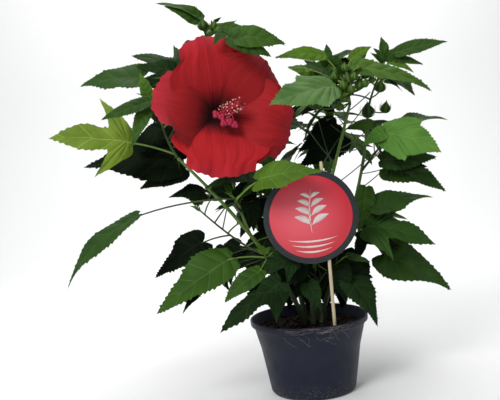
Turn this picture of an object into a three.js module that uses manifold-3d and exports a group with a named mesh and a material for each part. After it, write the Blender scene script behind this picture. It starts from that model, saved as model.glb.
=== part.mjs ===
// A swamp hibiscus shrub in its nursery pot: five stems that rise from the soil, a branch that carries one
// large bloom, masses of lobed and heart-shaped leaves with flower buds, and a round label on a stick.
// Millimetres, +Z up. The origin is the middle of the pot's flat underside, and -Y is the bloom's side.
import * as THREE from "three";
import { mergeVertices } from "three/addons/utils/BufferGeometryUtils.js";
import Module from "manifold-3d";

const wasm = await Module();
wasm.setup();

// ---------------------------------------------------------------- driving dimensions
const CLEARANCE = 0.3; // between solids that meet
const POT = { height: 120, rimRadius: 95, waistRadius: 80, baseRadius: 69, wall: 2.4, floor: 2.6, sides: 32 };
const SOIL_TOP = 105;
const STEM = { ringX: 6, ring: 13.5, footRadius: 5, tipRadius: 2.6, sides: 7, steps: 7 };
const FLARE = { share: 0.22, height: 16 }; // a stem's swelling where it meets the soil
const TWIG = { footRadius: 2.8, tipRadius: 1.9, sides: 5, steps: 3 };
const PETIOLE = { radius: 1.6, sides: 3, steps: 2, sink: 0.06 };
const BLADE = { thickness: 0.012, leastThickness: 1.1, arch: 0.07, fold: 0.12, sag: 0.28 };
const BUD = { radius: 8, length: 1.3, stalkRadius: 1.6 };
const BLOOM = { reach: 104, width: 122, thickness: 1.6, column: 50, calyx: 15 };
const LABEL = { radius: 71, thickness: 1, sideStep: -22, stickRadius: 2.6, sides: 32 };
const TURN = 137.5; // degrees from one leaf to the next round a twig

// A leaf blade's half outline over its length: where each cross-rib leaves the midrib, and where it ends.
const OUTLINES = {
  lobed: [
    { rib: 0, x: -0.08, y: 0.15 },
    { rib: 0.13, x: 0.42, y: 0.5 },
    { rib: 0.27, x: 0.33, y: 0.17 },
    { rib: 0.58, x: 0.6, y: 0.17 },
    { rib: 1, x: 1, y: 0.008 },
  ],
  star: [
    { rib: 0, x: -0.08, y: 0.13 },
    { rib: 0.08, x: 0.4, y: 0.56 },
    { rib: 0.18, x: 0.26, y: 0.15 },
    { rib: 0.5, x: 0.52, y: 0.19 },
    { rib: 1, x: 1, y: 0.008 },
  ],
  heart: [
    { rib: 0, x: -0.1, y: 0.16 },
    { rib: 0.14, x: 0.08, y: 0.3 },
    { rib: 0.36, x: 0.35, y: 0.27 },
    { rib: 1, x: 1, y: 0.008 },
  ],
  broad: [
    { rib: 0, x: -0.05, y: 0.1 },
    { rib: 0.16, x: 0.14, y: 0.22 },
    { rib: 0.42, x: 0.42, y: 0.21 },
    { rib: 1, x: 1, y: 0.008 },
  ],
  narrow: [
    { rib: 0, x: -0.03, y: 0.07 },
    { rib: 0.16, x: 0.15, y: 0.14 },
    { rib: 0.42, x: 0.42, y: 0.14 },
    { rib: 1, x: 1, y: 0.008 },
  ],
};

const FACING = {
  up: [0, 0, 1],
  front: [0, -0.9, 0.43],
  steep: [0, -1, 0.12],
  left: [-0.35, -0.7, 0.62],
  right: [0.35, -0.7, 0.62],
  slant: [0, -0.72, 0.69],
  flat: [0, -0.45, 0.9],
};

// ---------------------------------------------------------------- small helpers
const vec = (p) => new THREE.Vector3(...p);
const degrees = (a) => (a * Math.PI) / 180;
const mix = (a, b, share) => a + (b - a) * share;

// A number from 0 to 1 that is always the same for the same seed.
function noise(seed) {
  const wave = Math.sin(seed * 12.9898) * 43758.5453;
  return wave - Math.floor(wave);
}

function solidOf(geometry) {
  const bare = geometry.index ? geometry.toNonIndexed() : geometry.clone();
  bare.deleteAttribute("normal");
  bare.deleteAttribute("uv");
  const merged = mergeVertices(bare, 1e-4);
  return new wasm.Manifold(
    new wasm.Mesh({
      numProp: 3,
      vertProperties: new Float32Array(merged.attributes.position.array),
      triVerts: new Uint32Array(merged.index.array),
    }),
  );
}

function geometryOf(solid) {
  const mesh = solid.getMesh();
  const points = new Float32Array(mesh.numVert * 3);
  for (let i = 0; i < mesh.numVert; i++) {
    points.set(mesh.vertProperties.subarray(i * mesh.numProp, i * mesh.numProp + 3), i * 3);
  }
  const geometry = new THREE.BufferGeometry();
  geometry.setAttribute("position", new THREE.BufferAttribute(points, 3));
  geometry.setIndex(new THREE.BufferAttribute(mesh.triVerts.slice(), 1));
  geometry.computeVertexNormals();
  return geometry;
}

// Moves every vertex of a geometry by a rule.
function reshape(geometry, rule) {
  const place = geometry.attributes.position;
  for (let i = 0; i < place.count; i++) {
    const moved = rule(place.getX(i), place.getY(i), place.getZ(i));
    place.setXYZ(i, moved.x, moved.y, moved.z);
  }
  return geometry;
}

// The sideways and upward directions square to a line's run.
function frameOf(run, hint) {
  const side = new THREE.Vector3().crossVectors(hint, run).normalize();
  return { side, up: new THREE.Vector3().crossVectors(run, side) };
}

const LIMB_HINT = vec([0.31, -0.93, 0.17]).normalize();

// A tapering limb along a curve, from a cylinder that is bent.
function limbSolid(curve, footRadius, tipRadius, { sides, steps }, extra = 0) {
  const tube = new THREE.CylinderGeometry(tipRadius + extra, footRadius + extra, 1, sides, steps);
  return solidOf(
    reshape(tube, (x, y, z) => {
      const share = y + 0.5;
      const { side, up } = frameOf(curve.getTangent(share), LIMB_HINT);
      return curve.getPoint(share).addScaledVector(side, x).addScaledVector(up, -z);
    }),
  );
}

const largest = (solid) => solid.decompose().sort((a, b) => b.volume() - a.volume())[0];

// ---------------------------------------------------------------- pot and soil
// The pot's outer radius at a height: a collar, a quick taper to the waist and a slow one to the foot.
const POT_PROFILE = [
  [POT.baseRadius - 5, 0],
  [POT.baseRadius, 6],
  [POT.waistRadius, 72],
  [POT.rimRadius - 4.5, 110],
  [POT.rimRadius - 1, 111],
  [POT.rimRadius, POT.height],
];

function innerRadius(z) {
  const above = POT_PROFILE.findIndex(([, height]) => height > z);
  const [[r0, z0], [r1, z1]] = [POT_PROFILE[above - 1], POT_PROFILE[above]];
  return mix(r0, r1, (z - z0) / (z1 - z0)) - POT.wall;
}

function latheSolid(profile, sides) {
  const lathe = new THREE.LatheGeometry(profile.map(([r, z]) => new THREE.Vector2(r, z)), sides);
  return solidOf(lathe.rotateX(Math.PI / 2));
}

function potSolid() {
  const inner = [
    [POT.rimRadius - POT.wall, POT.height],
    [innerRadius(SOIL_TOP), SOIL_TOP],
    [innerRadius(72), 72],
    [innerRadius(6) - 1, POT.floor],
    [0, POT.floor],
  ];
  return latheSolid([[0, 0], ...POT_PROFILE, ...inner], POT.sides);
}

function soilSolid() {
  const fit = (z) => innerRadius(z) - 2 * CLEARANCE;
  const profile = [
    [0, POT.floor + CLEARANCE],
    [fit(6) - 1, POT.floor + CLEARANCE],
    [fit(72), 72],
    [fit(SOIL_TOP), SOIL_TOP],
    [0, SOIL_TOP],
  ];
  return latheSolid(profile, POT.sides);
}

// ---------------------------------------------------------------- stems
const FOOT_OF_STEMS = SOIL_TOP + CLEARANCE;

// The stems' feet stand on a ring in the middle of the soil.
function stemCurve(turn, rise, bend, tip) {
  const foot = vec([
    STEM.ringX + STEM.ring * Math.cos(degrees(turn)),
    STEM.ring * Math.sin(degrees(turn)),
    SOIL_TOP - 4,
  ]);
  return new THREE.CubicBezierCurve3(foot, vec(rise), vec(bend), vec(tip));
}

const STEMS = {
  stem_left: stemCurve(198, [-22, -12, 182], [-105, -50, 300], [-186, -40, 388]),
  stem_centre: stemCurve(270, [2, -14, 210], [52, 0, 330], [88, -20, 452]),
  stem_right: stemCurve(342, [34, 16, 175], [112, 54, 285], [126, 45, 440]),
  stem_back_right: stemCurve(54, [22, 40, 190], [62, 118, 280], [78, 150, 372]),
  stem_back_left: stemCurve(126, [-12, 38, 195], [-62, 100, 300], [-84, 120, 398]),
};
const BRANCH = { parent: "stem_left", at: 0.56, footRadius: 3.4, tipRadius: 2.4, sides: 6, steps: 7 };
const branchCurve = new THREE.CubicBezierCurve3(
  STEMS[BRANCH.parent].getPoint(BRANCH.at),
  vec([-110, -12, 332]),
  vec([-120, 38, 440]),
  vec([-124, 8, 540]),
);

// A stem flares where it meets the soil and is cut flat there.
function stemSolid(curve, extra) {
  const middle = curve.getPoint(0);
  const tube = limbSolid(curve, STEM.footRadius, STEM.tipRadius, STEM, extra);
  const flared = tube.warp((point) => {
    const low = Math.max(0, 1 - (point[2] - SOIL_TOP) / FLARE.height);
    const grow = 1 + FLARE.share * low ** 1.5;
    point[0] = middle.x + (point[0] - middle.x) * grow;
    point[1] = middle.y + (point[1] - middle.y) * grow;
  });
  return flared.trimByPlane([0, 0, 1], FOOT_OF_STEMS - extra);
}

const limbs = {};
for (const [name, curve] of Object.entries(STEMS)) {
  limbs[name] = { curve, solid: stemSolid(curve, 0), grown: stemSolid(curve, CLEARANCE) };
}
{
  const grow = (extra) => limbSolid(branchCurve, BRANCH.footRadius, BRANCH.tipRadius, BRANCH, extra);
  const seat = limbs[BRANCH.parent].grown;
  limbs.branch_bloom = { curve: branchCurve, solid: largest(grow(0).subtract(seat)), grown: grow(CLEARANCE) };
}

// ---------------------------------------------------------------- bloom
// The bloom looks along its axis. Its petals leave the throat, rise as a funnel and flare to a wide dish.
const bloomAxis = vec([0.34, -0.93, 0.06]).normalize();
const bloomFoot = vec([-122, -58, 447]);
const bloomFrame = frameOf(bloomAxis, vec([0, 0, 1]));
// To the bloom's right as it is looked at, up it, and out along its axis.
const bloomPoint = (right, up, out) =>
  bloomFoot
    .clone()
    .addScaledVector(bloomFrame.side, right)
    .addScaledVector(bloomFrame.up, up)
    .addScaledVector(bloomAxis, out);

// Petals in turn: heading in degrees from the bloom's right, reach and breadth over the common ones, how
// far its rim leans forward, and how far its first edge curls.
const PETALS = [
  { heading: 98, reach: 1.1, breadth: 1.14, lean: 8, curl: 0 },
  { heading: 43, reach: 1.06, breadth: 1.04, lean: -2, curl: 0 },
  { heading: -17, reach: 1.1, breadth: 1.1, lean: 0, curl: 0 },
  { heading: -98, reach: 0.92, breadth: 1.22, lean: 3, curl: 0 },
  { heading: 163, reach: 0.99, breadth: 1.0, lean: -14, curl: 28 },
];

// How far out from the axis, and how far along it, a petal is at a share of its length.
const petalOut = (share) => 4 + (BLOOM.reach - 4) * Math.pow(share, 0.9);
const petalRise = (share) => 44 * Math.sin(share * 2.3) - 6 * share;
const petalHalfWidth = (share) => (BLOOM.width / 2) * Math.sin(Math.min(1, 0.1 + share * 1.12) * 2.35 + 0.02);

function petalSolid({ heading, reach, breadth, lean, curl }) {
  const sheet = new THREE.BoxGeometry(1, 1, 1, 5, 3, 1);
  const angle = degrees(heading);
  return solidOf(
    reshape(sheet, (x, y, z) => {
      const across = 2 * y;
      // The rim is round, so the petal's sides end sooner than its middle.
      const share = (x + 0.5) * (1 - 0.16 * across * across);
      const out = petalOut(share) * reach;
      const wide = petalHalfWidth(x + 0.5) * across * breadth;
      // One edge lies over the next petal and the other under the one before.
      const lap = 7 * across * share + curl * Math.max(0, across) ** 2 * share;
      const rise = petalRise(share) + lap + lean * share * share;
      const right = out * Math.cos(angle) - wide * Math.sin(angle);
      const up = out * Math.sin(angle) + wide * Math.cos(angle);
      return bloomPoint(right, up, rise + z * BLOOM.thickness);
    }),
  );
}

function bloomSolid() {
  const along = (from, to) => new THREE.LineCurve3(bloomPoint(...from), bloomPoint(...to));
  const column = limbSolid(along([0, 0, -2], [16, 7, BLOOM.column]), 4.5, 5, { sides: 8, steps: 3 });
  const head = limbSolid(along([10, 5, 30], [18, 10, BLOOM.column + 6]), 9, 7, { sides: 8, steps: 2 });
  const calyx = limbSolid(along([0, 0, -12], [0, 0, 8]), 6, BLOOM.calyx, { sides: 10, steps: 1 });
  const root = limbs.branch_bloom.curve.getPoint(0.62);
  const bend = bloomPoint(0, -6, -45);
  const stalk = new THREE.QuadraticBezierCurve3(root, bend, bloomPoint(0, 0, -8));
  const stalkSolid = limbSolid(stalk, 2.2, 2.8, { sides: 6, steps: 5 }).subtract(limbs.branch_bloom.grown);
  const whole = PETALS.map(petalSolid).reduce((sum, petal) => sum.add(petal), calyx);
  return largest(whole.add(column).add(head).add(largest(stalkSolid)));
}

// ---------------------------------------------------------------- label on its stick
const stickFoot = vec([34, -70, SOIL_TOP - 8]);
const stickTop = vec([29, -88, 366]);

function stickSolid() {
  const line = new THREE.LineCurve3(stickFoot, stickTop);
  const stick = limbSolid(line, LABEL.stickRadius, LABEL.stickRadius, { sides: 8, steps: 1 });
  return stick.trimByPlane([0, 0, 1], SOIL_TOP + CLEARANCE);
}

// The label's back lies against the stick, whose top stands out above it.
const labelRun = new THREE.Vector3().subVectors(stickTop, stickFoot).normalize();
const labelFrame = frameOf(labelRun, vec([0, -1, 0]));
const labelNormal = new THREE.Vector3().crossVectors(labelFrame.side, labelRun).normalize();
if (labelNormal.y > 0) labelNormal.negate();
const labelCentre = stickTop
  .clone()
  .addScaledVector(labelRun, -81)
  .addScaledVector(labelNormal, LABEL.stickRadius + CLEARANCE + LABEL.thickness / 2)
  .add(vec([LABEL.sideStep, 0, 0]));

function labelSolid() {
  const half = LABEL.thickness / 2;
  const back = labelCentre.clone().addScaledVector(labelNormal, -half);
  const face = labelCentre.clone().addScaledVector(labelNormal, half);
  const through = new THREE.LineCurve3(back, face);
  return limbSolid(through, LABEL.radius, LABEL.radius, { sides: LABEL.sides, steps: 1 });
}

// ---------------------------------------------------------------- leaves and buds
function bladeSolid({ junction, tip, kind, facing }, extra) {
  const chord = new THREE.Vector3().subVectors(tip, junction);
  const length = chord.length();
  const run = chord.clone().normalize();
  const { side, up } = frameOf(run, facing);
  const outline = OUTLINES[kind];
  const half = Math.max(BLADE.leastThickness, length * BLADE.thickness) / 2 + extra;
  const sheet = new THREE.BoxGeometry(1, 1, 1, outline.length - 1, 2, 1);
  return solidOf(
    reshape(sheet, (x, y, z) => {
      const station = outline[Math.round((x + 0.5) * (outline.length - 1))];
      const across = Math.sign(Math.round(2 * y));
      const along = across ? station.x : station.rib;
      const wide = across * station.y;
      const bow = BLADE.arch * 4 * along * (1 - along);
      const lift = bow + BLADE.fold * Math.abs(wide) - BLADE.sag * wide * wide;
      return junction
        .clone()
        .addScaledVector(run, along * length)
        .addScaledVector(side, wide * length)
        .addScaledVector(up, lift * length + Math.sign(z) * half);
    }),
  );
}

function leafSolid(leaf, extra = 0) {
  const length = leaf.tip.distanceTo(leaf.junction);
  const end = leaf.junction.clone().lerp(leaf.tip, PETIOLE.sink);
  const { up } = frameOf(new THREE.Vector3().subVectors(leaf.tip, leaf.junction).normalize(), leaf.facing);
  end.addScaledVector(up, BLADE.arch * 4 * PETIOLE.sink * (1 - PETIOLE.sink) * length);
  const bend = leaf.root.clone().lerp(leaf.junction, 0.55);
  bend.z += leaf.root.distanceTo(leaf.junction) * leaf.bow;
  const stalk = new THREE.QuadraticBezierCurve3(leaf.root, bend, end);
  const petiole = limbSolid(stalk, PETIOLE.radius + 0.3, PETIOLE.radius, PETIOLE, extra);
  return petiole.add(bladeSolid(leaf, extra));
}

function budSolid({ root, centre, size }, extra = 0) {
  const run = new THREE.Vector3().subVectors(centre, root).normalize();
  const base = centre.clone().addScaledVector(run, -BUD.radius * size * 0.6);
  const stalk = limbSolid(new THREE.LineCurve3(root, base), BUD.stalkRadius, BUD.stalkRadius, PETIOLE, extra);
  const { side, up } = frameOf(run, LIMB_HINT);
  const radius = BUD.radius * size + extra;
  const ball = new THREE.SphereGeometry(1, 5, 4);
  const shape = reshape(ball, (x, y, z) =>
    centre
      .clone()
      .addScaledVector(run, y * radius * BUD.length)
      .addScaledVector(side, x * radius)
      .addScaledVector(up, -z * radius),
  );
  return stalk.add(solidOf(shape));
}

// ---------------------------------------------------------------- masses of foliage
// Each mass has a twig that leaves its limb at a share of the limb's length. The leaves that draw the
// shrub's outline are named one by one, as [share of the twig, junction, tip, outline, facing], and the
// rest grow round the twig by the rule in ruleLeaf. Buds are [share of the twig, centre, size].
const MASSES = [
  {
    name: "foliage_left_high",
    limb: "stem_left",
    at: 1,
    bend: [-205, -38, 418],
    tip: [-214, -16, 474],
    shown: {
      star: [0.1, [-254, -66, 416], [-369, -90, 433], "star", "front"],
      over_star: [0.9, [-216, -80, 475], [-287, -106, 452], "narrow", "front"],
      over_drop: [0.85, [-219, -74, 473], [-248, -98, 407], "narrow", "steep"],
      shoot: [1, [-220, -50, 480], [-232, -56, 522], "broad", "left"],
      top_left: [0.85, [-234, 0, 522], [-336, -6, 516], "heart", "slant"],
      top_behind: [1, [-168, 24, 523], [-255, 30, 564], "lobed", "slant"],
      dark_inner: [0.4, [-176, 4, 439], [-253, 10, 420], "heart", "front"],
      dark_lower: [0.1, [-191, 24, 383], [-355, 50, 391], "heart", "slant"],
      dark_drop: [0.2, [-185, 10, 373], [-256, 0, 345], "heart", "front"],
    },
    rule: { count: 3, heading: 40, blade: 110, petiole: 55, seed: 41, arc: 50 },
  },
  {
    name: "foliage_left_low",
    limb: "stem_left",
    at: 0.45,
    bend: [-96, 14, 232],
    tip: [-168, 24, 306],
    shown: {
      dark_heart: [0.6, [-162, 22, 249], [-247, 18, 198], "heart", "slant"],
      small: [1, [-154, 22, 328], [-212, 8, 328], "heart", "slant"],
      dark_drop: [0.2, [-125, 12, 239], [-122, 4, 176], "heart", "steep"],
      shade_back: [0.1, [-34, 30, 225], [-40, 34, 138], "heart", "steep"],
    },
    rule: { count: 3, heading: 40, blade: 100, petiole: 50, seed: 29, arc: 40 },
  },
  {
    name: "foliage_left_front",
    limb: "stem_left",
    at: 0.33,
    bend: [-52, -40, 226],
    tip: [-62, -62, 226],
    shown: {
      green_heart: [1, [-114, -70, 232], [-234, -92, 161], "broad", "slant"],
      over_rim: [0.7, [-20, -58, 222], [-89, -80, 203], "lobed", "slant"],
      lobed_low: [0.9, [-70, -80, 211], [-130, -104, 171], "broad", "slant"],
      rim_leaf: [0.6, [-50, -92, 187], [-139, -132, 135], "lobed", "flat"],
    },
  },
  {
    name: "foliage_front_low",
    limb: "stem_centre",
    at: 0.14,
    bend: [18, -26, 184],
    tip: [34, -36, 194],
    shown: {
      heart_low: [0.5, [0, -44, 179], [17, -60, 136], "heart", "steep"],
      shade_left: [0.3, [-10, -44, 210], [-67, -52, 172], "heart", "front"],
      rim_right: [0.9, [63, -42, 183], [98, -84, 113], "heart", "right"],
      shade: [1, [52, -30, 206], [106, -22, 175], "heart", "steep"],
      shade_back: [0.7, [45, -50, 206], [55, -58, 145], "heart", "steep"],
    },
  },
  {
    name: "foliage_branch",
    limb: "branch_bloom",
    at: 0.16,
    bend: [-104, -52, 306],
    tip: [-102, -66, 320],
    shown: {
      pendant: [1, [-250, -64, 308], [-374, -62, 203], "narrow", "flat"],
      bright_heart: [0.85, [-66, -108, 346], [27, -132, 354], "heart", "slant"],
    },
  },
  {
    name: "foliage_centre",
    limb: "stem_centre",
    at: 0.52,
    bend: [0, -4, 318],
    tip: [-34, -8, 336],
    shown: {
      dark_drop: [0.8, [-68, -8, 317], [-101, -12, 254], "heart", "steep"],
      under_bloom: [1, [-65, -26, 349], [-150, -56, 340], "heart", "flat"],
      dark_wide: [0.4, [82, 56, 405], [6, 74, 357], "heart", "steep"],
    },
    rule: { count: 2, heading: 100, blade: 84, petiole: 40, seed: 5, arc: 40 },
  },
  {
    name: "foliage_top_left",
    limb: "branch_bloom",
    at: 1,
    bend: [-126, 0, 562],
    tip: [-131, 5, 586],
    shown: {
      crest: [1, [-133, 8, 610], [-206, 8, 640], "broad", "flat"],
      right_upper: [0.9, [-108, 4, 588], [-48, 8, 575], "lobed", "slant"],
      right_lower: [0.5, [-99, -26, 570], [-4, -34, 550], "lobed", "flat"],
      small_left: [0.2, [-153, -6, 568], [-170, -10, 541], "heart", "steep"],
    },
    buds: [
      [0.9, [-132, -8, 594], 0.95],
      [0.8, [-115, -14, 590], 0.8],
      [0.6, [-109, -22, 581], 0.7],
    ],
    rule: { count: 2, heading: 60, blade: 92, petiole: 42, seed: 5, arc: 40 },
  },
  {
    name: "foliage_right_head",
    limb: "stem_centre",
    at: 1,
    bend: [86, -32, 470],
    tip: [78, -34, 490],
    shown: {
      bloom_side: [0.1, [57, -104, 472], [-43, -150, 453], "lobed", "slant"],
      thin_left: [0.9, [53, -46, 526], [-27, -60, 528], "narrow", "front"],
      crest: [1, [58, -24, 513], [58, -20, 549], "lobed", "front"],
      dark_left: [0.4, [70, 6, 487], [24, 14, 532], "heart", "front"],
      dark_top: [0.9, [71, 4, 527], [126, 12, 535], "heart", "flat"],
      top: [0.95, [101, 0, 518], [130, 4, 543], "heart", "front"],
      arched: [0.8, [90, -58, 506], [214, -46, 463], "narrow", "slant"],
      shade: [0.1, [59, 0, 454], [0, -4, 454], "heart", "slant"],
    },
    buds: [
      [0.05, [33, -62, 457], 1.45],
      [0.2, [63, -64, 468], 1.05],
      [0.4, [80, -66, 486], 0.95],
      [0.5, [98, -60, 478], 0.9],
      [0.8, [109, -56, 493], 0.8],
    ],
    rule: { count: 3, heading: 200, blade: 86, petiole: 46, seed: 62 },
  },
  {
    name: "foliage_right_top",
    limb: "stem_right",
    at: 1,
    bend: [130, 40, 462],
    tip: [142, 30, 490],
    shown: {
      arm: [1, [170, 14, 530], [250, -12, 540], "narrow", "front"],
      crest: [0.95, [158, 26, 519], [153, 26, 561], "lobed", "steep"],
      second: [0.9, [167, 20, 523], [214, 4, 508], "narrow", "front"],
      back: [0.7, [166, 66, 498], [224, 116, 470], "heart", "up"],
    },
    buds: [
      [0.05, [122, 20, 441], 1.25],
      [0.5, [145, 22, 479], 1],
      [0.1, [150, 16, 444], 0.95],
    ],
    rule: { count: 2, heading: 200, blade: 96, petiole: 50, seed: 128, arc: 40 },
  },
  {
    name: "foliage_right_mid",
    limb: "stem_right",
    at: 0.78,
    bend: [136, 36, 376],
    tip: [142, 16, 388],
    shown: {
      lit: [1, [137, -20, 403], [219, -50, 367], "lobed", "front"],
      lit_behind: [0.9, [168, 14, 415], [242, -14, 418], "heart", "flat"],
      inner: [0.95, [137, -26, 405], [99, -32, 385], "heart", "front"],
      dark: [0.7, [148, 30, 363], [226, 8, 357], "lobed", "flat"],
      dark_drop: [0.5, [152, 34, 349], [241, 14, 303], "heart", "slant"],
    },
  },
  {
    name: "foliage_right_low",
    limb: "stem_right",
    at: 0.5,
    bend: [100, 30, 262],
    tip: [104, 10, 268],
    shown: {
      wide: [0.9, [102, -8, 257], [209, -24, 223], "lobed", "slant"],
      upper: [1, [115, 0, 285], [216, 4, 297], "heart", "flat"],
      low_heart: [0.4, [129, 22, 205], [238, 8, 142], "heart", "slant"],
      shade: [0.6, [107, 16, 232], [165, 22, 215], "heart", "flat"],
      shade_back: [0.3, [72, 56, 213], [38, 46, 132], "heart", "steep"],
      hang: [1, [110, 14, 319], [91, 4, 246], "broad", "steep"],
    },
    rule: { count: 2, heading: 20, blade: 95, petiole: 50, seed: 5 },
  },
  {
    name: "foliage_back_left",
    limb: "stem_back_left",
    at: 1,
    bend: [-88, 118, 425],
    tip: [-80, 112, 462],
    buds: [
      [0.9, [-82, 104, 480], 0.9],
      [1, [-66, 120, 474], 0.8],
    ],
    rule: { count: 9, heading: 80, blade: 114, petiole: 68, seed: 23 },
  },
  {
    name: "foliage_back_left_low",
    limb: "stem_back_left",
    at: 0.5,
    bend: [-58, 96, 286],
    tip: [-82, 112, 292],
    rule: { count: 5, heading: 20, blade: 112, petiole: 62, seed: 47, arc: 40 },
  },
  {
    name: "foliage_back_right",
    limb: "stem_back_right",
    at: 1,
    bend: [80, 152, 400],
    tip: [72, 146, 430],
    shown: {
      dark_behind: [0.3, [79, 96, 424], [9, 90, 385], "heart", "steep"],
    },
    buds: [
      [0.9, [74, 138, 452], 0.9],
    ],
    rule: { count: 9, heading: 180, blade: 114, petiole: 68, seed: 71 },
  },
  {
    name: "foliage_back_right_low",
    limb: "stem_back_right",
    at: 0.5,
    bend: [66, 108, 262],
    tip: [86, 122, 262],
    rule: { count: 5, heading: 20, blade: 106, petiole: 60, seed: 5, arc: 40 },
  },
];

// The k-th leaf of a mass: it turns round the twig, droops more the lower it sits, and varies by its seed.
function ruleLeaf(twig, { count, heading, blade, petiole, seed, arc }, k) {
  const vary = (item) => noise(seed + 7.3 * k + item) - 0.5;
  const share = (k + 0.7) / count;
  const turn = arc ? arc * (k - 1) : TURN * k;
  const angle = degrees(heading + turn + 26 * vary(1));
  const outward = new THREE.Vector3(Math.cos(angle), Math.sin(angle), 0);
  const root = twig.getPoint(Math.min(1, 0.15 + 0.85 * share));
  const reach = petiole * (1.15 - 0.45 * share) * (1 + 0.35 * vary(2));
  const junction = root.clone().addScaledVector(outward, reach);
  junction.z += reach * (0.12 + 0.5 * share);
  const length = blade * (1.1 - 0.35 * share) * (1 + 0.3 * vary(3));
  const fall = degrees(52 - 48 * share + 24 * vary(4));
  const tip = junction.clone().addScaledVector(outward, length * Math.cos(fall));
  tip.z -= length * Math.sin(fall);
  const facing = vec([0.5 * vary(5), 0.5 * vary(6), 1]).normalize();
  return { root, junction, tip, kind: vary(7) > -0.15 ? "lobed" : "heart", facing, bow: 0.16 };
}

const meets = (solid, others) => others.some((other) => !solid.intersect(other).isEmpty());

// A mass is its twig with the leaves and buds fused to it. What would touch another piece isn't grown, and
// neither is a rule leaf that would cross one of the mass's own.
function growMass(mass, taken) {
  const limb = limbs[mass.limb];
  const foot = limb.curve.getPoint(mass.at);
  const twig = new THREE.QuadraticBezierCurve3(foot, vec(mass.bend), vec(mass.tip));
  // A leaf or bud is tried without the sleeve of twig that it roots in.
  const sleeve = limbSolid(twig, TWIG.footRadius + 3, TWIG.tipRadius + 3, TWIG);
  const grown = [];
  const tryOn = (solid, wide, others) => {
    if (!meets(largest(wide.subtract(sleeve)), others)) grown.push(solid);
  };
  for (const [share, junction, tip, kind, way] of Object.values(mass.shown ?? {})) {
    const facing = vec(FACING[way]).normalize();
    const ends = { root: twig.getPoint(share), junction: vec(junction), tip: vec(tip) };
    const leaf = { ...ends, kind, facing, bow: 0.08 };
    tryOn(leafSolid(leaf), leafSolid(leaf, CLEARANCE), taken);
  }
  for (let k = 0; k < (mass.rule?.count ?? 0); k++) {
    const leaf = ruleLeaf(twig, mass.rule, k);
    tryOn(leafSolid(leaf), leafSolid(leaf, CLEARANCE), [...taken, ...grown]);
  }
  for (const [share, centre, size] of mass.buds ?? []) {
    const bud = { root: twig.getPoint(share), centre: vec(centre), size };
    tryOn(budSolid(bud), budSolid(bud, CLEARANCE), taken);
  }
  const stick = limbSolid(twig, TWIG.footRadius, TWIG.tipRadius, TWIG);
  return largest(grown.reduce((sum, solid) => sum.add(solid), stick).subtract(limb.grown));
}

// ---------------------------------------------------------------- the whole plant
const COLOURS = {
  pot: { color: 0x23252e, roughness: 0.55, metalness: 0 },
  soil: { color: 0x2a1d15, roughness: 0.95, metalness: 0 },
  stem: { color: 0x5d7f34, roughness: 0.6, metalness: 0 },
  wood: { color: 0xcdbf9c, roughness: 0.7, metalness: 0 },
  card: { color: 0xc83a3f, roughness: 0.45, metalness: 0 },
  petal: { color: 0xa81f24, roughness: 0.6, metalness: 0 },
  leaf: { color: 0x35602a, roughness: 0.6, metalness: 0 },
};
const materials = Object.fromEntries(
  Object.entries(COLOURS).map(([name, look]) => [name, new THREE.MeshStandardMaterial({ name, ...look })]),
);

const plant = new THREE.Group();
plant.name = "hibiscus_shrub";

function addPiece(name, rough, material) {
  const solid = rough.simplify(0.05);
  const mesh = new THREE.Mesh(geometryOf(solid), materials[material]);
  mesh.name = name;
  plant.add(mesh);
  return solid;
}

const taken = [addPiece("pot", potSolid(), "pot"), addPiece("soil", soilSolid(), "soil")];
for (const [name, limb] of Object.entries(limbs)) taken.push(addPiece(name, limb.solid, "stem"));
taken.push(addPiece("bloom", bloomSolid(), "petal"));
taken.push(addPiece("label_stick", stickSolid(), "wood"));
taken.push(addPiece("label_disc", labelSolid(), "card"));
for (const mass of MASSES) taken.push(addPiece(mass.name, growMass(mass, taken), "leaf"));

export default plant;
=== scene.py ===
"""A potted swamp hibiscus: nursery pot, compost, green stems, leaves, buds, one large bloom and a label."""

import math

import bmesh
import bpy
from mathutils import Matrix, Vector
from mathutils.noise import noise as field


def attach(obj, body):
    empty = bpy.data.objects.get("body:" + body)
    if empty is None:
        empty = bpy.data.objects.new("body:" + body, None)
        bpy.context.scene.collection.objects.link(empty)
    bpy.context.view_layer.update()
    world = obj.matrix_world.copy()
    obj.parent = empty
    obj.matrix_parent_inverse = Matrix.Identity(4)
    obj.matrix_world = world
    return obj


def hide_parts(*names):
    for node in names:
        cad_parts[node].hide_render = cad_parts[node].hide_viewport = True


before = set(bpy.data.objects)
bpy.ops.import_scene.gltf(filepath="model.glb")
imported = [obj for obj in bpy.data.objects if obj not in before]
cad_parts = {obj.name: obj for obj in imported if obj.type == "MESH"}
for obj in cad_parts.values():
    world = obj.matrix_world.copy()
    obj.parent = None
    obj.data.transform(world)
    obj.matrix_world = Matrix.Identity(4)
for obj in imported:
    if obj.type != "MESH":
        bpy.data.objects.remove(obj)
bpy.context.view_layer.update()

bl_info = {
    "name": "Potted Hibiscus",
    "version": (1, 0, 0),
    "blender": (4, 5, 0),
    "location": "View3D > Sidebar > Hibiscus",
    "description": "Grows a potted hibiscus shrub with one large bloom",
    "category": "Object",
}

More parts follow.
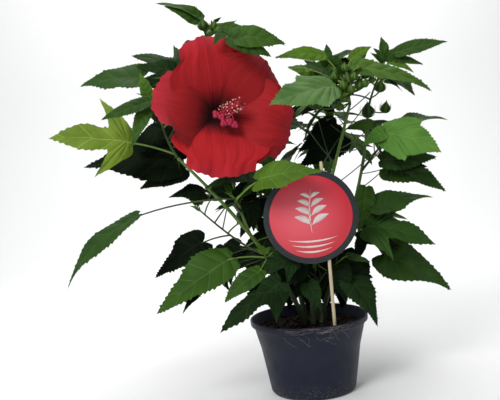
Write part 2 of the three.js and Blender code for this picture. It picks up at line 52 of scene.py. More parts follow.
# Every size and place below is in millimetres, from the centre of the pot's underside, the front towards -Y.
MM = 0.001
SOIL_TOP = 105.0
SOIL_RADIUS = 86.4
WAIST_HEIGHT = 72  # where the pot's wall bends outwards
RIM_BAND = 10  # height of the band round the pot's lip
STEM_RING = 13.5  # radius of the ring that the stems' feet stand on
STEM_RING_RIGHT = 6  # from the pot's axis to the middle of that ring
CLEARANCE = 0.3  # between the label's card and its stick
CARD = 0.5  # half the thickness of the label's card
STICK_RADIUS = 2.6
MERGE = 1e-6  # metres, under which two corners of a mesh are one
TURN = 137.5  # degrees from one leaf to the next round a twig
INNER_FROM = 5  # leaves that a mass's rule must count before it grows a smaller inner row
LIMB_HINT = Vector((0.31, -0.93, 0.17)).normalized()  # no limb runs along it, so it can tell their sides

# Half the outline of each kind of leaf, from its junction to its tip: where a rib leaves the midrib, and how
# far along and out it meets the margin, all over the leaf's length.
MARGINS = {
    "lobed": [
        (0, -0.05, 0.07), (0, -0.07, 0.17), (0.01, 0.02, 0.26), (0.02, 0.15, 0.34), (0.03, 0.29, 0.425),
        (0.04, 0.44, 0.52), (0.06, 0.385, 0.38), (0.09, 0.34, 0.27), (0.14, 0.32, 0.18), (0.22, 0.41, 0.165),
        (0.34, 0.53, 0.18), (0.48, 0.65, 0.155), (0.63, 0.78, 0.095), (0.8, 0.9, 0.038), (1, 1, 0),
    ],
    "shallow": [
        (0, -0.05, 0.07), (0, -0.08, 0.16), (0.01, 0.0, 0.25), (0.02, 0.13, 0.31), (0.03, 0.32, 0.36),
        (0.04, 0.52, 0.39), (0.06, 0.52, 0.33), (0.1, 0.51, 0.29), (0.16, 0.53, 0.27), (0.25, 0.59, 0.26),
        (0.36, 0.66, 0.24), (0.5, 0.75, 0.18), (0.64, 0.84, 0.11), (0.8, 0.92, 0.045), (1, 1, 0),
    ],
    "webbed": [
        (0, -0.02, 0.05), (0, 0.0, 0.12), (0.01, 0.06, 0.19), (0.03, 0.16, 0.25), (0.05, 0.28, 0.32),
        (0.07, 0.4, 0.39), (0.1, 0.44, 0.33), (0.15, 0.48, 0.27), (0.22, 0.54, 0.24), (0.31, 0.61, 0.23),
        (0.43, 0.7, 0.19), (0.56, 0.79, 0.13), (0.69, 0.86, 0.075), (0.83, 0.93, 0.032), (1, 1, 0),
    ],
    "star": [
        (0, -0.05, 0.06), (0, -0.05, 0.14), (0.01, 0.03, 0.23), (0.02, 0.13, 0.34), (0.02, 0.27, 0.46),
        (0.03, 0.41, 0.58), (0.04, 0.33, 0.39), (0.06, 0.28, 0.24), (0.1, 0.26, 0.155), (0.18, 0.36, 0.16),
        (0.3, 0.5, 0.19), (0.46, 0.64, 0.165), (0.63, 0.78, 0.095), (0.8, 0.9, 0.038), (1, 1, 0),
    ],
    "heart": [
        (0, -0.06, 0.05), (0, -0.11, 0.13), (0.01, -0.07, 0.22), (0.03, 0.03, 0.28), (0.08, 0.17, 0.3),
        (0.18, 0.34, 0.275), (0.32, 0.51, 0.205), (0.48, 0.67, 0.13), (0.64, 0.8, 0.07), (0.8, 0.91, 0.03),
        (1, 1, 0),
    ],
    "broad": [
        (0, -0.04, 0.05), (0, -0.03, 0.13), (0.04, 0.1, 0.2), (0.13, 0.26, 0.225), (0.28, 0.42, 0.21),
        (0.44, 0.58, 0.165), (0.6, 0.74, 0.105), (0.8, 0.89, 0.045), (1, 1, 0),
    ],
    "narrow": [
        (0, -0.03, 0.03), (0.01, 0.0, 0.09), (0.05, 0.13, 0.135), (0.17, 0.3, 0.145), (0.32, 0.45, 0.135),
        (0.46, 0.6, 0.105), (0.62, 0.75, 0.067), (0.8, 0.89, 0.028), (1, 1, 0),
    ],
}
# How far a blade arches along its midrib, folds up at it and sags towards its margin, over its length.
ARCH, FOLD, SAG = 0.07, 0.12, 0.28
RIBS = 7  # side veins on each half of a blade

# The way that a leaf's upper face looks.
FACING = {
    "up": (0, 0, 1),
    "front": (0, -0.9, 0.43),
    "steep": (0, -1, 0.12),
    "left": (-0.35, -0.7, 0.62),
    "right": (0.35, -0.7, 0.62),
    "slant": (0, -0.72, 0.69),
    "flat": (0, -0.45, 0.9),
}


def stem_curve(turn, rise, bend, tip):
    """A stem's curve from its foot on the ring in the middle of the soil."""
    angle = math.radians(turn)
    foot = (STEM_RING_RIGHT + STEM_RING * math.cos(angle), STEM_RING * math.sin(angle), SOIL_TOP - 4)
    return [Vector(p) for p in (foot, rise, bend, tip)]


LIMBS = {
    "stem_left": stem_curve(198, (-22, -12, 182), (-105, -50, 300), (-186, -40, 388)),
    "stem_centre": stem_curve(270, (2, -14, 210), (52, 0, 330), (88, -20, 452)),
    "stem_right": stem_curve(342, (34, 16, 175), (112, 54, 285), (126, 45, 440)),
    "stem_back_right": stem_curve(54, (22, 40, 190), (62, 118, 280), (78, 150, 372)),
    "stem_back_left": stem_curve(126, (-12, 38, 195), (-62, 100, 300), (-84, 120, 398)),
}

# Thin stalks of shaded leaves that cross behind the stems: limb, share of it, and where they end.
CROSSING = [
    ("stem_centre", 0.75, (24, 70, 427)), ("stem_centre", 0.72, (45, 60, 435)),
    ("stem_centre", 0.81, (112, 20, 405)), ("stem_centre", 0.8, (117, 40, 384)),
    ("stem_right", 0.87, (62, 30, 424)), ("stem_right", 0.79, (135, -10, 379)),
    ("stem_right", 0.77, (141, 30, 345)), ("stem_right", 0.7, (144, 30, 345)),
    ("stem_centre", 0.64, (134, 0, 381)), ("stem_right", 0.86, (97, 50, 410)),
    ("stem_left", 0.55, (-119, 40, 304)),
    ("stem_centre", 0.88, (123, 40, 454)), ("stem_centre", 0.91, (59, 0, 456)),
    ("stem_centre", 0.94, (73, -20, 462)), ("stem_centre", 0.97, (121, -20, 468)),
]

# Each mass of foliage: its limb, the share of the limb that it leaves at, its twig's bend and tip, then its
# leaves as (share of the twig, junction, tip, outline, facing, tone), its buds as (share, centre, size), and
# its rule (count, heading, blade, petiole, seed, arc) with the rule's leaves that have no room.
MASSES = {
    "foliage_left_high": {
        "limb": "stem_left", "at": 1, "bend": (-205, -38, 418), "tip": (-214, -16, 474),
        "leaves": {
            "star": (0.1, (-254, -66, 416), (-369, -90, 433), "star", "front", "lime"),
            "over_star": (0.9, (-216, -80, 475), (-287, -106, 452), "narrow", "front", "mid"),
            "over_drop": (0.85, (-219, -74, 473), (-248, -98, 407), "narrow", "steep", "mid"),
            "shoot": (1, (-220, -50, 480), (-232, -56, 522), "broad", "left", "fresh"),
            "top_left": (0.85, (-234, 0, 522), (-336, -6, 516), "heart", "slant", "deep"),
            "top_front": (0.95, (-179, 12, 527), (-245, 6, 541), "broad", "front", "painted_half_shade"),
            "top_under": (0.9, (-193, 8, 508), (-245, 2, 512), "heart", "front", "painted_half_shade"),
            "top_behind": (1, (-168, 24, 523), (-255, 30, 564), "lobed", "slant", "deep"),
            "dark_inner": (0.4, (-176, 4, 439), (-253, 10, 420), "heart", "front", "painted_deep_shade"),
            "dark_lower": (0.1, (-191, 24, 383), (-355, 50, 391), "heart", "slant", "painted_deep_shade"),
            "dark_drop": (0.2, (-185, 10, 373), (-256, 0, 345), "heart", "front", "painted_deep_shade"),
            "dark_up": (0.35, (-177, 2, 443), (-242, -2, 468), "heart", "front", "painted_deep_shade"),
            "dark_out": (0.4, (-178, 0, 449), (-265, 2, 413), "broad", "slant", "painted_deep_shade"),
            "dark_mid": (0.25, (-184, 20, 405), (-256, 26, 406), "heart", "slant", "painted_deep_shade"),
            "top_fill": (0.95, (-190, 12, 518), (-251, 6, 509), "heart", "slant", "deep"),
        },
        "rule": (3, 40, 110, 55, 41, 50), "bare": (),
    },
    "foliage_left_low": {
        "limb": "stem_left", "at": 0.45, "bend": (-96, 14, 232), "tip": (-168, 24, 306),
        "leaves": {
            "dark_heart": (0.6, (-162, 22, 249), (-247, 18, 198), "heart", "slant", "painted_deep_shade"),
            "small": (1, (-154, 22, 328), (-212, 8, 328), "heart", "slant", "painted_deep_shade"),
            "stem_side": (0.8, (-99, 20, 323), (-167, 26, 333), "heart", "flat", "painted_deep_shade"),
            "stem_heart": (0.7, (-104, 30, 343), (-149, 34, 317), "broad", "slant", "painted_deep_shade"),
            "over_front": (0.2, (-102, 6, 241), (-152, 4, 218), "heart", "slant", "painted_deep_shade"),
            "front_fill": (0.15, (-87, 4, 229), (-125, 4, 196), "heart", "steep", "painted_deep_shade"),
            "corner": (0.1, (-56, 6, 246), (-110, 2, 215), "heart", "front", "painted_deep_shade"),
            "corner_up": (0.1, (-51, 18, 244), (-73, 20, 292), "broad", "front", "painted_deep_shade"),
            "corner_low": (0.1, (-67, 10, 230), (-97, 6, 177), "heart", "front", "painted_deep_shade"),
            "tip": (0.3, (-145, -10, 219), (-124, -8, 169), "narrow", "steep", "painted_deep_shade"),
            "dark_drop": (0.2, (-125, 12, 239), (-122, 4, 176), "heart", "steep", "painted_deep_shade"),
            "shade_back": (0.1, (-34, 30, 225), (-40, 34, 138), "heart", "steep", "painted_deep_shade"),
        },
        "rule": (3, 40, 100, 50, 29, 40), "bare": (),
    },
    "foliage_left_front": {
        "limb": "stem_left", "at": 0.33, "bend": (-52, -40, 226), "tip": (-62, -62, 226),
        "leaves": {
            "green_heart": (1, (-114, -70, 232), (-234, -92, 161), "broad", "slant", "mid"),
            "over_rim": (0.7, (-20, -58, 222), (-89, -80, 203), "lobed", "slant", "painted_half_shade"),
            "lobed_low": (0.9, (-70, -80, 211), (-130, -104, 171), "broad", "slant", "mid"),
            "rim_leaf": (0.6, (-50, -92, 187), (-139, -132, 135), "lobed", "flat", "painted_half_shade"),
            "between": (0.9, (-106, -64, 223), (-157, -66, 191), "broad", "slant", "painted_deep_shade"),
            "rim_heart": (0.6, (-44, -98, 193), (-94, -112, 155), "heart", "front", "painted_half_shade"),
            "right_fill": (0.6, (-58, -40, 235), (-34, -46, 187), "broad", "steep", "deep"),
            "thin_tip": (0.9, (-159, -84, 191), (-194, -96, 157), "narrow", "flat", "painted_deep_shade"),
        },
    },
    "foliage_front_low": {
        "limb": "stem_centre", "at": 0.14, "bend": (18, -26, 184), "tip": (34, -36, 194),
        "leaves": {
            "heart_low": (0.5, (0, -44, 179), (17, -60, 136), "heart", "steep", "painted_half_shade"),
            "shade_left": (0.3, (-10, -44, 210), (-67, -52, 172), "heart", "front", "painted_deep_shade"),
            "rim_right": (0.9, (63, -42, 183), (98, -84, 113), "heart", "right", "painted_half_shade"),
            "shade": (1, (52, -30, 206), (106, -22, 175), "heart", "steep", "painted_deep_shade"),
            "shade_back": (0.7, (45, -50, 206), (55, -58, 145), "heart", "steep", "painted_deep_shade"),
            "under_label": (1, (61, -46, 219), (98, -56, 206), "narrow", "front", "deep"),
            # The feet leaves are near-black leaves that fill the shadow behind the stems' feet: painted
            # shade.
            "feet_left": (0.5, (0, -16, 199), (-20, -20, 150), "heart", "steep", "painted_deep_shade"),
            "feet_back_left": (0.5, (-4, 42, 208), (-27, 46, 127), "heart", "steep", "painted_deep_shade"),
            "feet_back": (0.6, (30, 50, 207), (20, 52, 121), "heart", "steep", "painted_deep_shade"),
            "feet_back_right": (0.8, (66, 46, 201), (67, 48, 119), "heart", "steep", "painted_deep_shade"),
            "feet_far_left": (0.3, (-29, 20, 206), (-50, 24, 140), "heart", "steep", "painted_deep_shade"),
            "feet_far_right": (0.9, (87, 30, 195), (92, 34, 124), "heart", "steep", "painted_deep_shade"),
            "feet_middle": (0.6, (20, -10, 200), (22, -14, 148), "heart", "steep", "painted_deep_shade"),
            "feet_right": (0.8, (43, -4, 194), (50, 0, 147), "heart", "steep", "painted_deep_shade"),
            "feet_low_left": (0.4, (-17, 50, 187), (-29, 52, 118), "heart", "front", "painted_deep_shade"),
            "feet_low_middle": (0.6, (8, 57, 181), (4, 60, 112), "heart", "front", "painted_deep_shade"),
            "feet_low_right": (0.7, (40, 64, 177), (35, 68, 109), "heart", "front", "painted_deep_shade"),
            "feet_low_edge": (0.8, (67, 52, 184), (61, 54, 112), "heart", "front", "painted_deep_shade"),
        },
    },
    "foliage_branch": {
        "limb": "branch_bloom", "at": 0.16, "bend": (-104, -52, 306), "tip": (-102, -66, 320),
        "leaves": {
            "pendant": (1, (-250, -64, 308), (-374, -62, 203), "narrow", "flat", "deep"),
            "bright_heart": (0.85, (-66, -108, 346), (27, -132, 354), "heart", "slant", "fresh"),
        },
    },
    "foliage_centre": {
        "limb": "stem_centre", "at": 0.52, "bend": (0, -4, 318), "tip": (-34, -8, 336),
        "leaves": {
            "dark_drop": (0.8, (-68, -8, 317), (-101, -12, 254), "heart", "steep", "painted_deep_shade"),
            "under_bloom": (1, (-65, -26, 349), (-150, -56, 340), "heart", "flat", "deep"),
            "lower_left": (0.9, (-75, -14, 336), (-125, -24, 308), "heart", "slant", "painted_deep_shade"),
            "short": (1, (-68, -20, 345), (-95, -36, 319), "lobed", "steep", "mid"),
            "wide_right": (0.7, (-59, -6, 337), (-39, -10, 310), "heart", "steep", "deep"),
            "hang": (0.6, (-80, -18, 314), (-78, -22, 263), "heart", "steep", "painted_deep_shade"),
            "behind_heart": (0.8, (-58, 0, 347), (-14, 6, 327), "heart", "flat", "painted_deep_shade"),
            "dark_wide": (0.4, (82, 56, 405), (6, 74, 357), "heart", "steep", "painted_deep_shade"),
        },
        "rule": (2, 100, 84, 40, 5, 40), "bare": (),
    },
    "foliage_top_left": {
        "limb": "branch_bloom", "at": 1, "bend": (-126, 0, 562), "tip": (-131, 5, 586),
        "leaves": {
            "crest": (1, (-133, 8, 610), (-206, 8, 640), "broad", "flat", "mid"),
            "right_upper": (0.9, (-108, 4, 588), (-48, 8, 575), "lobed", "slant", "mid"),
            "right_lower": (0.5, (-99, -26, 570), (-4, -34, 550), "lobed", "flat", "mid"),
            "small_left": (0.2, (-153, -6, 568), (-170, -10, 541), "heart", "steep", "mid"),
            "bloom_top": (0.5, (-100, -98, 564), (-116, -108, 545), "heart", "front", "mid"),
            "lower_wide": (0.6, (-93, -101, 555), (-32, -106, 523), "broad", "front", "mid"),
            "right_wide": (0.6, (-93, -97, 557), (-10, -104, 541), "broad", "front", "mid"),
            "arch": (0.9, (-102, -20, 588), (-48, -30, 565), "narrow", "front", "mid"),
            "crest_body": (1, (-134, 6, 605), (-192, 2, 632), "broad", "front", "mid"),
        },
        "buds": [
            (0.9, (-132, -8, 594), 0.95),
            (0.8, (-115, -14, 590), 0.8),
            (0.6, (-109, -22, 581), 0.7),
            (0.1, (-159, -30, 552), 0.95),
        ],
        "rule": (2, 60, 92, 42, 5, 40), "bare": (),
    },
    "foliage_right_head": {
        "limb": "stem_centre", "at": 1, "bend": (86, -32, 470), "tip": (78, -34, 490),
        "leaves": {
            "bloom_side": (0.1, (57, -104, 472), (-43, -150, 453), "webbed", "slant", "dusty"),
            "thin_left": (0.9, (53, -46, 526), (-27, -60, 528), "narrow", "front", "fresh"),
            "light_small": (0.7, (28, -50, 506), (-7, -60, 510), "lobed", "flat", "fresh"),
            "crest": (1, (58, -24, 513), (58, -20, 549), "lobed", "front", "mid"),
            "dark_left": (0.4, (70, 6, 487), (24, 14, 532), "heart", "front", "deep"),
            "dark_top": (0.9, (71, 4, 527), (126, 12, 535), "heart", "flat", "deep"),
            "top": (0.95, (101, 0, 518), (130, 4, 543), "heart", "front", "mid"),
            "arched": (0.8, (90, -58, 506), (214, -46, 463), "narrow", "slant", "fresh"),
            "shade": (0.1, (59, 0, 454), (0, -4, 454), "heart", "slant", "painted_deep_shade"),
            "head_fill": (0.8, (94, 12, 509), (19, 6, 515), "heart", "front", "deep"),
            "head_left": (0.85, (49, -6, 497), (-5, -14, 519), "broad", "front", "fresh"),
            "shade_inner": (0.15, (52, -14, 462), (9, -18, 439), "heart", "flat", "painted_deep_shade"),
            "dark_fill": (0.9, (67, 8, 507), (116, 4, 528), "heart", "front", "deep"),
            "dark_step": (0.8, (82, -18, 493), (131, -14, 515), "heart", "flat", "deep"),
            "dark_low": (0.3, (90, -22, 480), (56, -26, 454), "heart", "steep", "painted_deep_shade"),
            "top_mid": (0.95, (94, -12, 521), (131, -8, 541), "broad", "front", "fresh"),
            "left_fill": (0.7, (60, -16, 492), (23, -12, 521), "heart", "flat", "deep"),
            "mid_small": (0.9, (79, -30, 511), (58, -34, 530), "broad", "front", "mid"),
            "bract_leaf": (0.8, (87, -70, 496), (107, -82, 504), "narrow", "flat", "lime"),
            "bract_left": (0.8, (72, -70, 494), (53, -80, 503), "narrow", "flat", "fresh"),
            "bract_low": (0.5, (82, -68, 466), (65, -76, 455), "narrow", "flat", "fresh"),
            "arch_low": (0.7, (126, -52, 492), (168, -48, 462), "broad", "flat", "mid"),
        },
        "buds": [
            (0.05, (33, -62, 457), 1.45),
            (0.2, (63, -64, 468), 1.05),
            (0.4, (80, -66, 486), 0.95),
            (0.5, (98, -60, 478), 0.9),
            (0.8, (109, -56, 493), 0.8),
            (0.7, (62, -62, 492), 0.8),
            (0.1, (67, -56, 447), 0.7),
            (0.6, (88, -54, 501), 0.8),
            (0.3, (59, -70, 466), 0.7),
            (0.35, (84, -70, 470), 0.7),
            (0.7, (90, -70, 489), 0.7),
            (0.8, (77, -68, 503), 0.65),
            (0.45, (106, -64, 478), 0.65),
            (0.4, (72, -74, 477), 0.7),
            (0.3, (73, -66, 458), 0.65),
            (0.3, (53, -66, 476), 0.6),
            (0.8, (97, -66, 501), 0.6),
            (0.15, (50, -60, 462), 0.6),
            (0.6, (118, -58, 484), 0.6),
        ],
        "rule": (3, 200, 86, 46, 62, 0), "bare": (2,),
    },
    "foliage_right_top": {
        "limb": "stem_right", "at": 1, "bend": (130, 40, 462), "tip": (142, 30, 490),
        "leaves": {
            "arm": (1, (170, 14, 530), (250, -12, 540), "narrow", "front", "mid"),
            "crest": (0.95, (158, 26, 519), (153, 26, 561), "lobed", "steep", "mid"),
            "crest_right": (0.95, (157, 20, 521), (183, 12, 543), "broad", "front", "mid"),
            "crest_left": (0.9, (157, 18, 521), (137, 14, 541), "broad", "front", "mid"),
            "second": (0.9, (167, 20, 523), (214, 4, 508), "narrow", "front", "mid"),
            "third": (0.8, (164, 16, 517), (197, 2, 496), "narrow", "front", "fresh"),
            "back": (0.7, (166, 66, 498), (224, 116, 470), "heart", "up", "mid"),
        },
        "buds": [
            (0.05, (122, 20, 441), 1.25),
            (0.5, (145, 22, 479), 1),
            (0.1, (150, 16, 444), 0.95),
        ],
        "rule": (2, 200, 96, 50, 128, 40), "bare": (),
    },
    "foliage_right_mid": {
        "limb": "stem_right", "at": 0.78, "bend": (136, 36, 376), "tip": (142, 16, 388),
        "leaves": {
            "lit": (1, (137, -20, 403), (219, -50, 367), "shallow", "front", "sunlit"),
            "lit_behind": (0.9, (168, 14, 415), (242, -14, 418), "heart", "flat", "mid"),
            "inner": (0.95, (137, -26, 405), (99, -32, 385), "heart", "front", "sunlit"),
            "thin": (0.5, (125, -4, 419), (80, -14, 414), "broad", "front", "mid"),
            "dark": (0.7, (148, 30, 363), (226, 8, 357), "lobed", "flat", "deep"),
            "dark_face": (0.8, (135, 12, 360), (224, -2, 360), "broad", "front", "deep"),
            "dark_low": (0.75, (141, 14, 353), (210, 4, 345), "broad", "slant", "painted_half_shade"),
            "dark_drop": (0.5, (152, 34, 349), (241, 14, 303), "heart", "slant", "mid"),
        },
    },
    "foliage_right_low": {
        "limb": "stem_right", "at": 0.5, "bend": (100, 30, 262), "tip": (104, 10, 268),
        "leaves": {
            "wide": (0.9, (102, -8, 257), (209, -24, 223), "lobed", "slant", "deep"),
            "upper": (1, (115, 0, 285), (216, 4, 297), "heart", "flat", "deep"),
            "low_heart": (0.4, (129, 22, 205), (238, 8, 142), "heart", "slant", "deep"),
            "shade": (0.6, (107, 16, 232), (165, 22, 215), "heart", "flat", "painted_deep_shade"),
            "low_fill": (0.6, (98, 16, 249), (157, 12, 212), "heart", "slant", "painted_deep_shade"),
            "left_fill": (0.4, (99, 24, 238), (86, 20, 197), "broad", "steep", "painted_deep_shade"),
            "shade_back": (0.3, (72, 56, 213), (38, 46, 132), "heart", "steep", "painted_deep_shade"),
            "hang": (1, (110, 14, 319), (91, 4, 246), "broad", "steep", "mid"),
        },
        "rule": (2, 20, 95, 50, 5, 0), "bare": (),
    },
    "foliage_back_left": {
        "limb": "stem_back_left", "at": 1, "bend": (-88, 118, 425), "tip": (-80, 112, 462),
        "buds": [
            (0.9, (-82, 104, 480), 0.9),
            (1, (-66, 120, 474), 0.8),
        ],
        "rule": (9, 80, 114, 68, 23, 0), "bare": (),
    },
    "foliage_back_left_low": {
        "limb": "stem_back_left", "at": 0.5, "bend": (-58, 96, 286), "tip": (-82, 112, 292),
        "rule": (5, 20, 112, 62, 47, 40), "bare": (0,),
    },
    "foliage_back_right": {
        "limb": "stem_back_right", "at": 1, "bend": (80, 152, 400), "tip": (72, 146, 430),
        "leaves": {
            "dark_behind": (0.3, (79, 96, 424), (9, 90, 385), "heart", "steep", "painted_deep_shade"),
        },
        "buds": [
            (0.9, (74, 138, 452), 0.9),
        ],
        "rule": (9, 180, 114, 68, 71, 0), "bare": (3, 6),
    },
    "foliage_back_right_low": {
        "limb": "stem_back_right", "at": 0.5, "bend": (66, 108, 262), "tip": (86, 122, 262),
        "rule": (5, 20, 106, 60, 5, 40), "bare": (2, 4),
    },
}

# Each tone of leaf: its painted lit and its painted shaded colour, how clearly its veins show, and its gloss.
LEAF_TONES = {
    # Painted deep shade: near-black leaves that stand for the shadow inside the foliage.
    "painted_deep_shade": ("#142110", "#0B140B", 0.06, 0.03),
    "deep": ("#2C4A18", "#1A3011", 0.16, 0.12),
    "mid": ("#335316", "#203B0E", 0.28, 0.12),
    "fresh": ("#4F701B", "#385817", 0.4, 0.12),
    "lime": ("#718729", "#4B681F", 0.85, 0.12),
    "dusty": ("#5A7C40", "#3C5C2A", 0.4, 0.12),
    "sunlit": ("#5A8636", "#3E6A22", 0.45, 0.12),
    # Painted half shade: green leaves darkened to how they look in shadow.
    "painted_half_shade": ("#1D3217", "#122110", 0.14, 0.03),
}
# Painted shade: the leaves of these tones get the darker, shaded stalk skin.
SHADE_STALKED_TONES = ("painted_deep_shade", "painted_half_shade", "deep")  # tones whose leaves have dull stalks

# Each petal: its heading from the bloom's right in degrees, reach, breadth, lean of the rim, curl of one
# edge, and its painted light and shade from 0, the most shaded, to 1, the most lit.
PETALS = {
    "upper": (98, 1.1, 1.14, 8, 0, 0.75),
    "upper_right": (43, 1.06, 1.04, -2, 0, 0.3),
    "right": (-17, 1.1, 1.1, 0, 0, 0.5),
    "lower": (-98, 0.92, 1.22, 3, 0, 0.95),
    "left": (163, 0.99, 1.0, -14, 28, 0.3),
}


# ---------------------------------------------------------------- small helpers
def rgb(code, alpha=1.0):
    """An sRGB hex colour as linear red, green, blue and alpha."""
    parts = [int(code[i : i + 2], 16) / 255 for i in (1, 3, 5)]
    return (*(c / 12.92 if c <= 0.04045 else ((c + 0.055) / 1.055) ** 2.4 for c in parts), alpha)


def steady(seed):
    """A number from 0 to 1 that is always the same for the same seed."""
    wave = math.sin(seed * 12.9898) * 43758.5453
    return wave - math.floor(wave)


def mix(a, b, share):
    """The number a share of the way from a to b."""
    return a + (b - a) * share


def step_along(points, share):
    """The pair of points that a Bezier curve's last split leaves at a share of it."""
    points = list(points)
    while len(points) > 2:
        points = [a.lerp(b, share) for a, b in zip(points, points[1:])]
    return points


def point_on(curve, share):
    """The point at a share of a Bezier curve."""
    a, b = step_along(curve, share)
    return a.lerp(b, share)


def run_of(curve, share):
    """The direction of a Bezier curve at a share of it."""
    a, b = step_along(curve, share)
    return (b - a).normalized()


def split_after(curve, share):
    """The part of a Bezier curve after a share of it."""
    points, tail = list(curve), []
    while points:
        tail.append(points[-1])
        points = [a.lerp(b, share) for a, b in zip(points, points[1:])]
    return tail[::-1]


def frame_of(run, hint):
    """The sideways and upward directions square to a line's run."""
    side = hint.cross(run).normalized()
    return side, run.cross(side)


BRANCH_FOOT = point_on(LIMBS["stem_left"], 0.56)
LIMBS["branch_bloom"] = [
    BRANCH_FOOT,
    Vector((-110, -12, 332)),
    Vector((-120, 38, 440)),
    Vector((-124, 8, 540)),
]


def new_shape():
    """An empty mesh under construction, with a UV map and a shade for each of its leaves or parts."""
    bm = bmesh.new()
    bm.loops.layers.uv.new("surface")
    bm.verts.layers.float.new("shade")
    return bm


def round_off(bm, edges, width, segments):
    """Rounds edges of a shape off."""
    bmesh.ops.bevel(
        bm, geom=edges, offset=width, offset_type="OFFSET", segments=segments, profile=0.5, affect="EDGES",
        material=-1,
    )


def turned(side, up, angle):
    """The direction at an angle from side towards up."""
    return side * math.cos(angle) + up * math.sin(angle)


def add_sheet(bm, columns, rows, rule, shade=0.5):
    """A grid of faces, whose corner at u across and v along it rule(u, v) puts in place, in millimetres."""
    made = bmesh.ops.create_grid(bm, x_segments=columns, y_segments=rows, size=0.5, calc_uvs=True)["verts"]
    layer = bm.verts.layers.float["shade"]
    for vert in made:
        vert.co = rule(vert.co.x + 0.5, vert.co.y + 0.5) * MM
        vert[layer] = shade
    return made


def add_tube(bm, curve, radius, sides, rows, shade=0.5, relief=None):
    """A closed tube along a curve. radius(share) is its radius and relief(share, angle) a factor on it."""
    last = rows + 2

    def place(u, v):
        k = round(v * last)
        share = min(1, max(0, (k - 1) / rows))
        side, up = frame_of(run_of(curve, share), LIMB_HINT)
        angle = 2 * math.pi * u
        size = 0 if k in (0, last) else radius(share)
        if size and relief:
            size *= relief(share, angle)
        return point_on(curve, share) + side * (size * math.cos(angle)) + up * (size * math.sin(angle))

    made = add_sheet(bm, sides, last, place, shade)
    bmesh.ops.remove_doubles(bm, verts=made, dist=MERGE)


def finish_piece(name, bm, surface, nodes=()):
    """Makes the shape an object that rides on the frame in place of its CAD nodes."""
    if not bm.faces:
        raise RuntimeError(f"{name} has no faces")
    for face in bm.faces:
        face.smooth = True
    mesh = bpy.data.meshes.new(name)
    bm.to_mesh(mesh)
    bm.free()
    piece = bpy.data.objects.new(name, mesh)
    bpy.context.collection.objects.link(piece)
    mesh.materials.append(surface)
    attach(piece, "root")
    if nodes:
        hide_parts(*nodes)
    return piece


# ---------------------------------------------------------------- materials
def add(tree, kind, inputs=None, out=0, stops=(), **settings):
    """Adds a node with its settings, fills or links its inputs, and gives back one of its outputs."""
    node = tree.nodes.new(f"ShaderNode{kind}")
    for name, value in settings.items():
        setattr(node, name, value)
    for place, shade in stops[2:]:
        node.color_ramp.elements.new(place)
    for (place, shade), element in zip(stops, node.color_ramp.elements if stops else ()):
        element.position = place
        element.color = shade if isinstance(shade, tuple) else (shade, shade, shade, 1)
    for key, value in (inputs or {}).items():
        if isinstance(value, bpy.types.NodeSocket):
            tree.links.new(value, node.inputs[key])
        else:
            node.inputs[key].default_value = value
    return node.outputs[out] if node.outputs else node


def start_material(name, **sockets):
    """A material with the plain values of its shader, its node tree, and that shader's inputs."""
    material = bpy.data.materials.new(name)
    material.use_nodes = True
    inputs = material.node_tree.nodes["Principled BSDF"].inputs
    for key, value in sockets.items():
        inputs[key.replace("_", " ")].default_value = value
    return material, material.node_tree, inputs


def grain(tree, size_mm, detail=3.0, roughness=0.55, stretch=(1, 1, 1)):
    """A pattern of grains about size_mm across, fixed to the object."""
    where = add(tree, "Mapping", {"Vector": add(tree, "TexCoord", out="Object"), "Scale": stretch})
    fills = {"Vector": where, "Scale": 1 / (size_mm * MM), "Detail": detail, "Roughness": roughness}
    return add(tree, "TexNoise", fills, out="Fac")


def colour_and_relief(tree, inputs, colour, height, depth_mm, strength=0.6):
    """Links a material's colour, and its relief as a bump of a real depth."""
    tree.links.new(colour, inputs["Base Color"])
    relief = add(tree, "Bump", {"Height": height, "Distance": depth_mm * MM, "Strength": strength})
    tree.links.new(relief, inputs["Normal"])


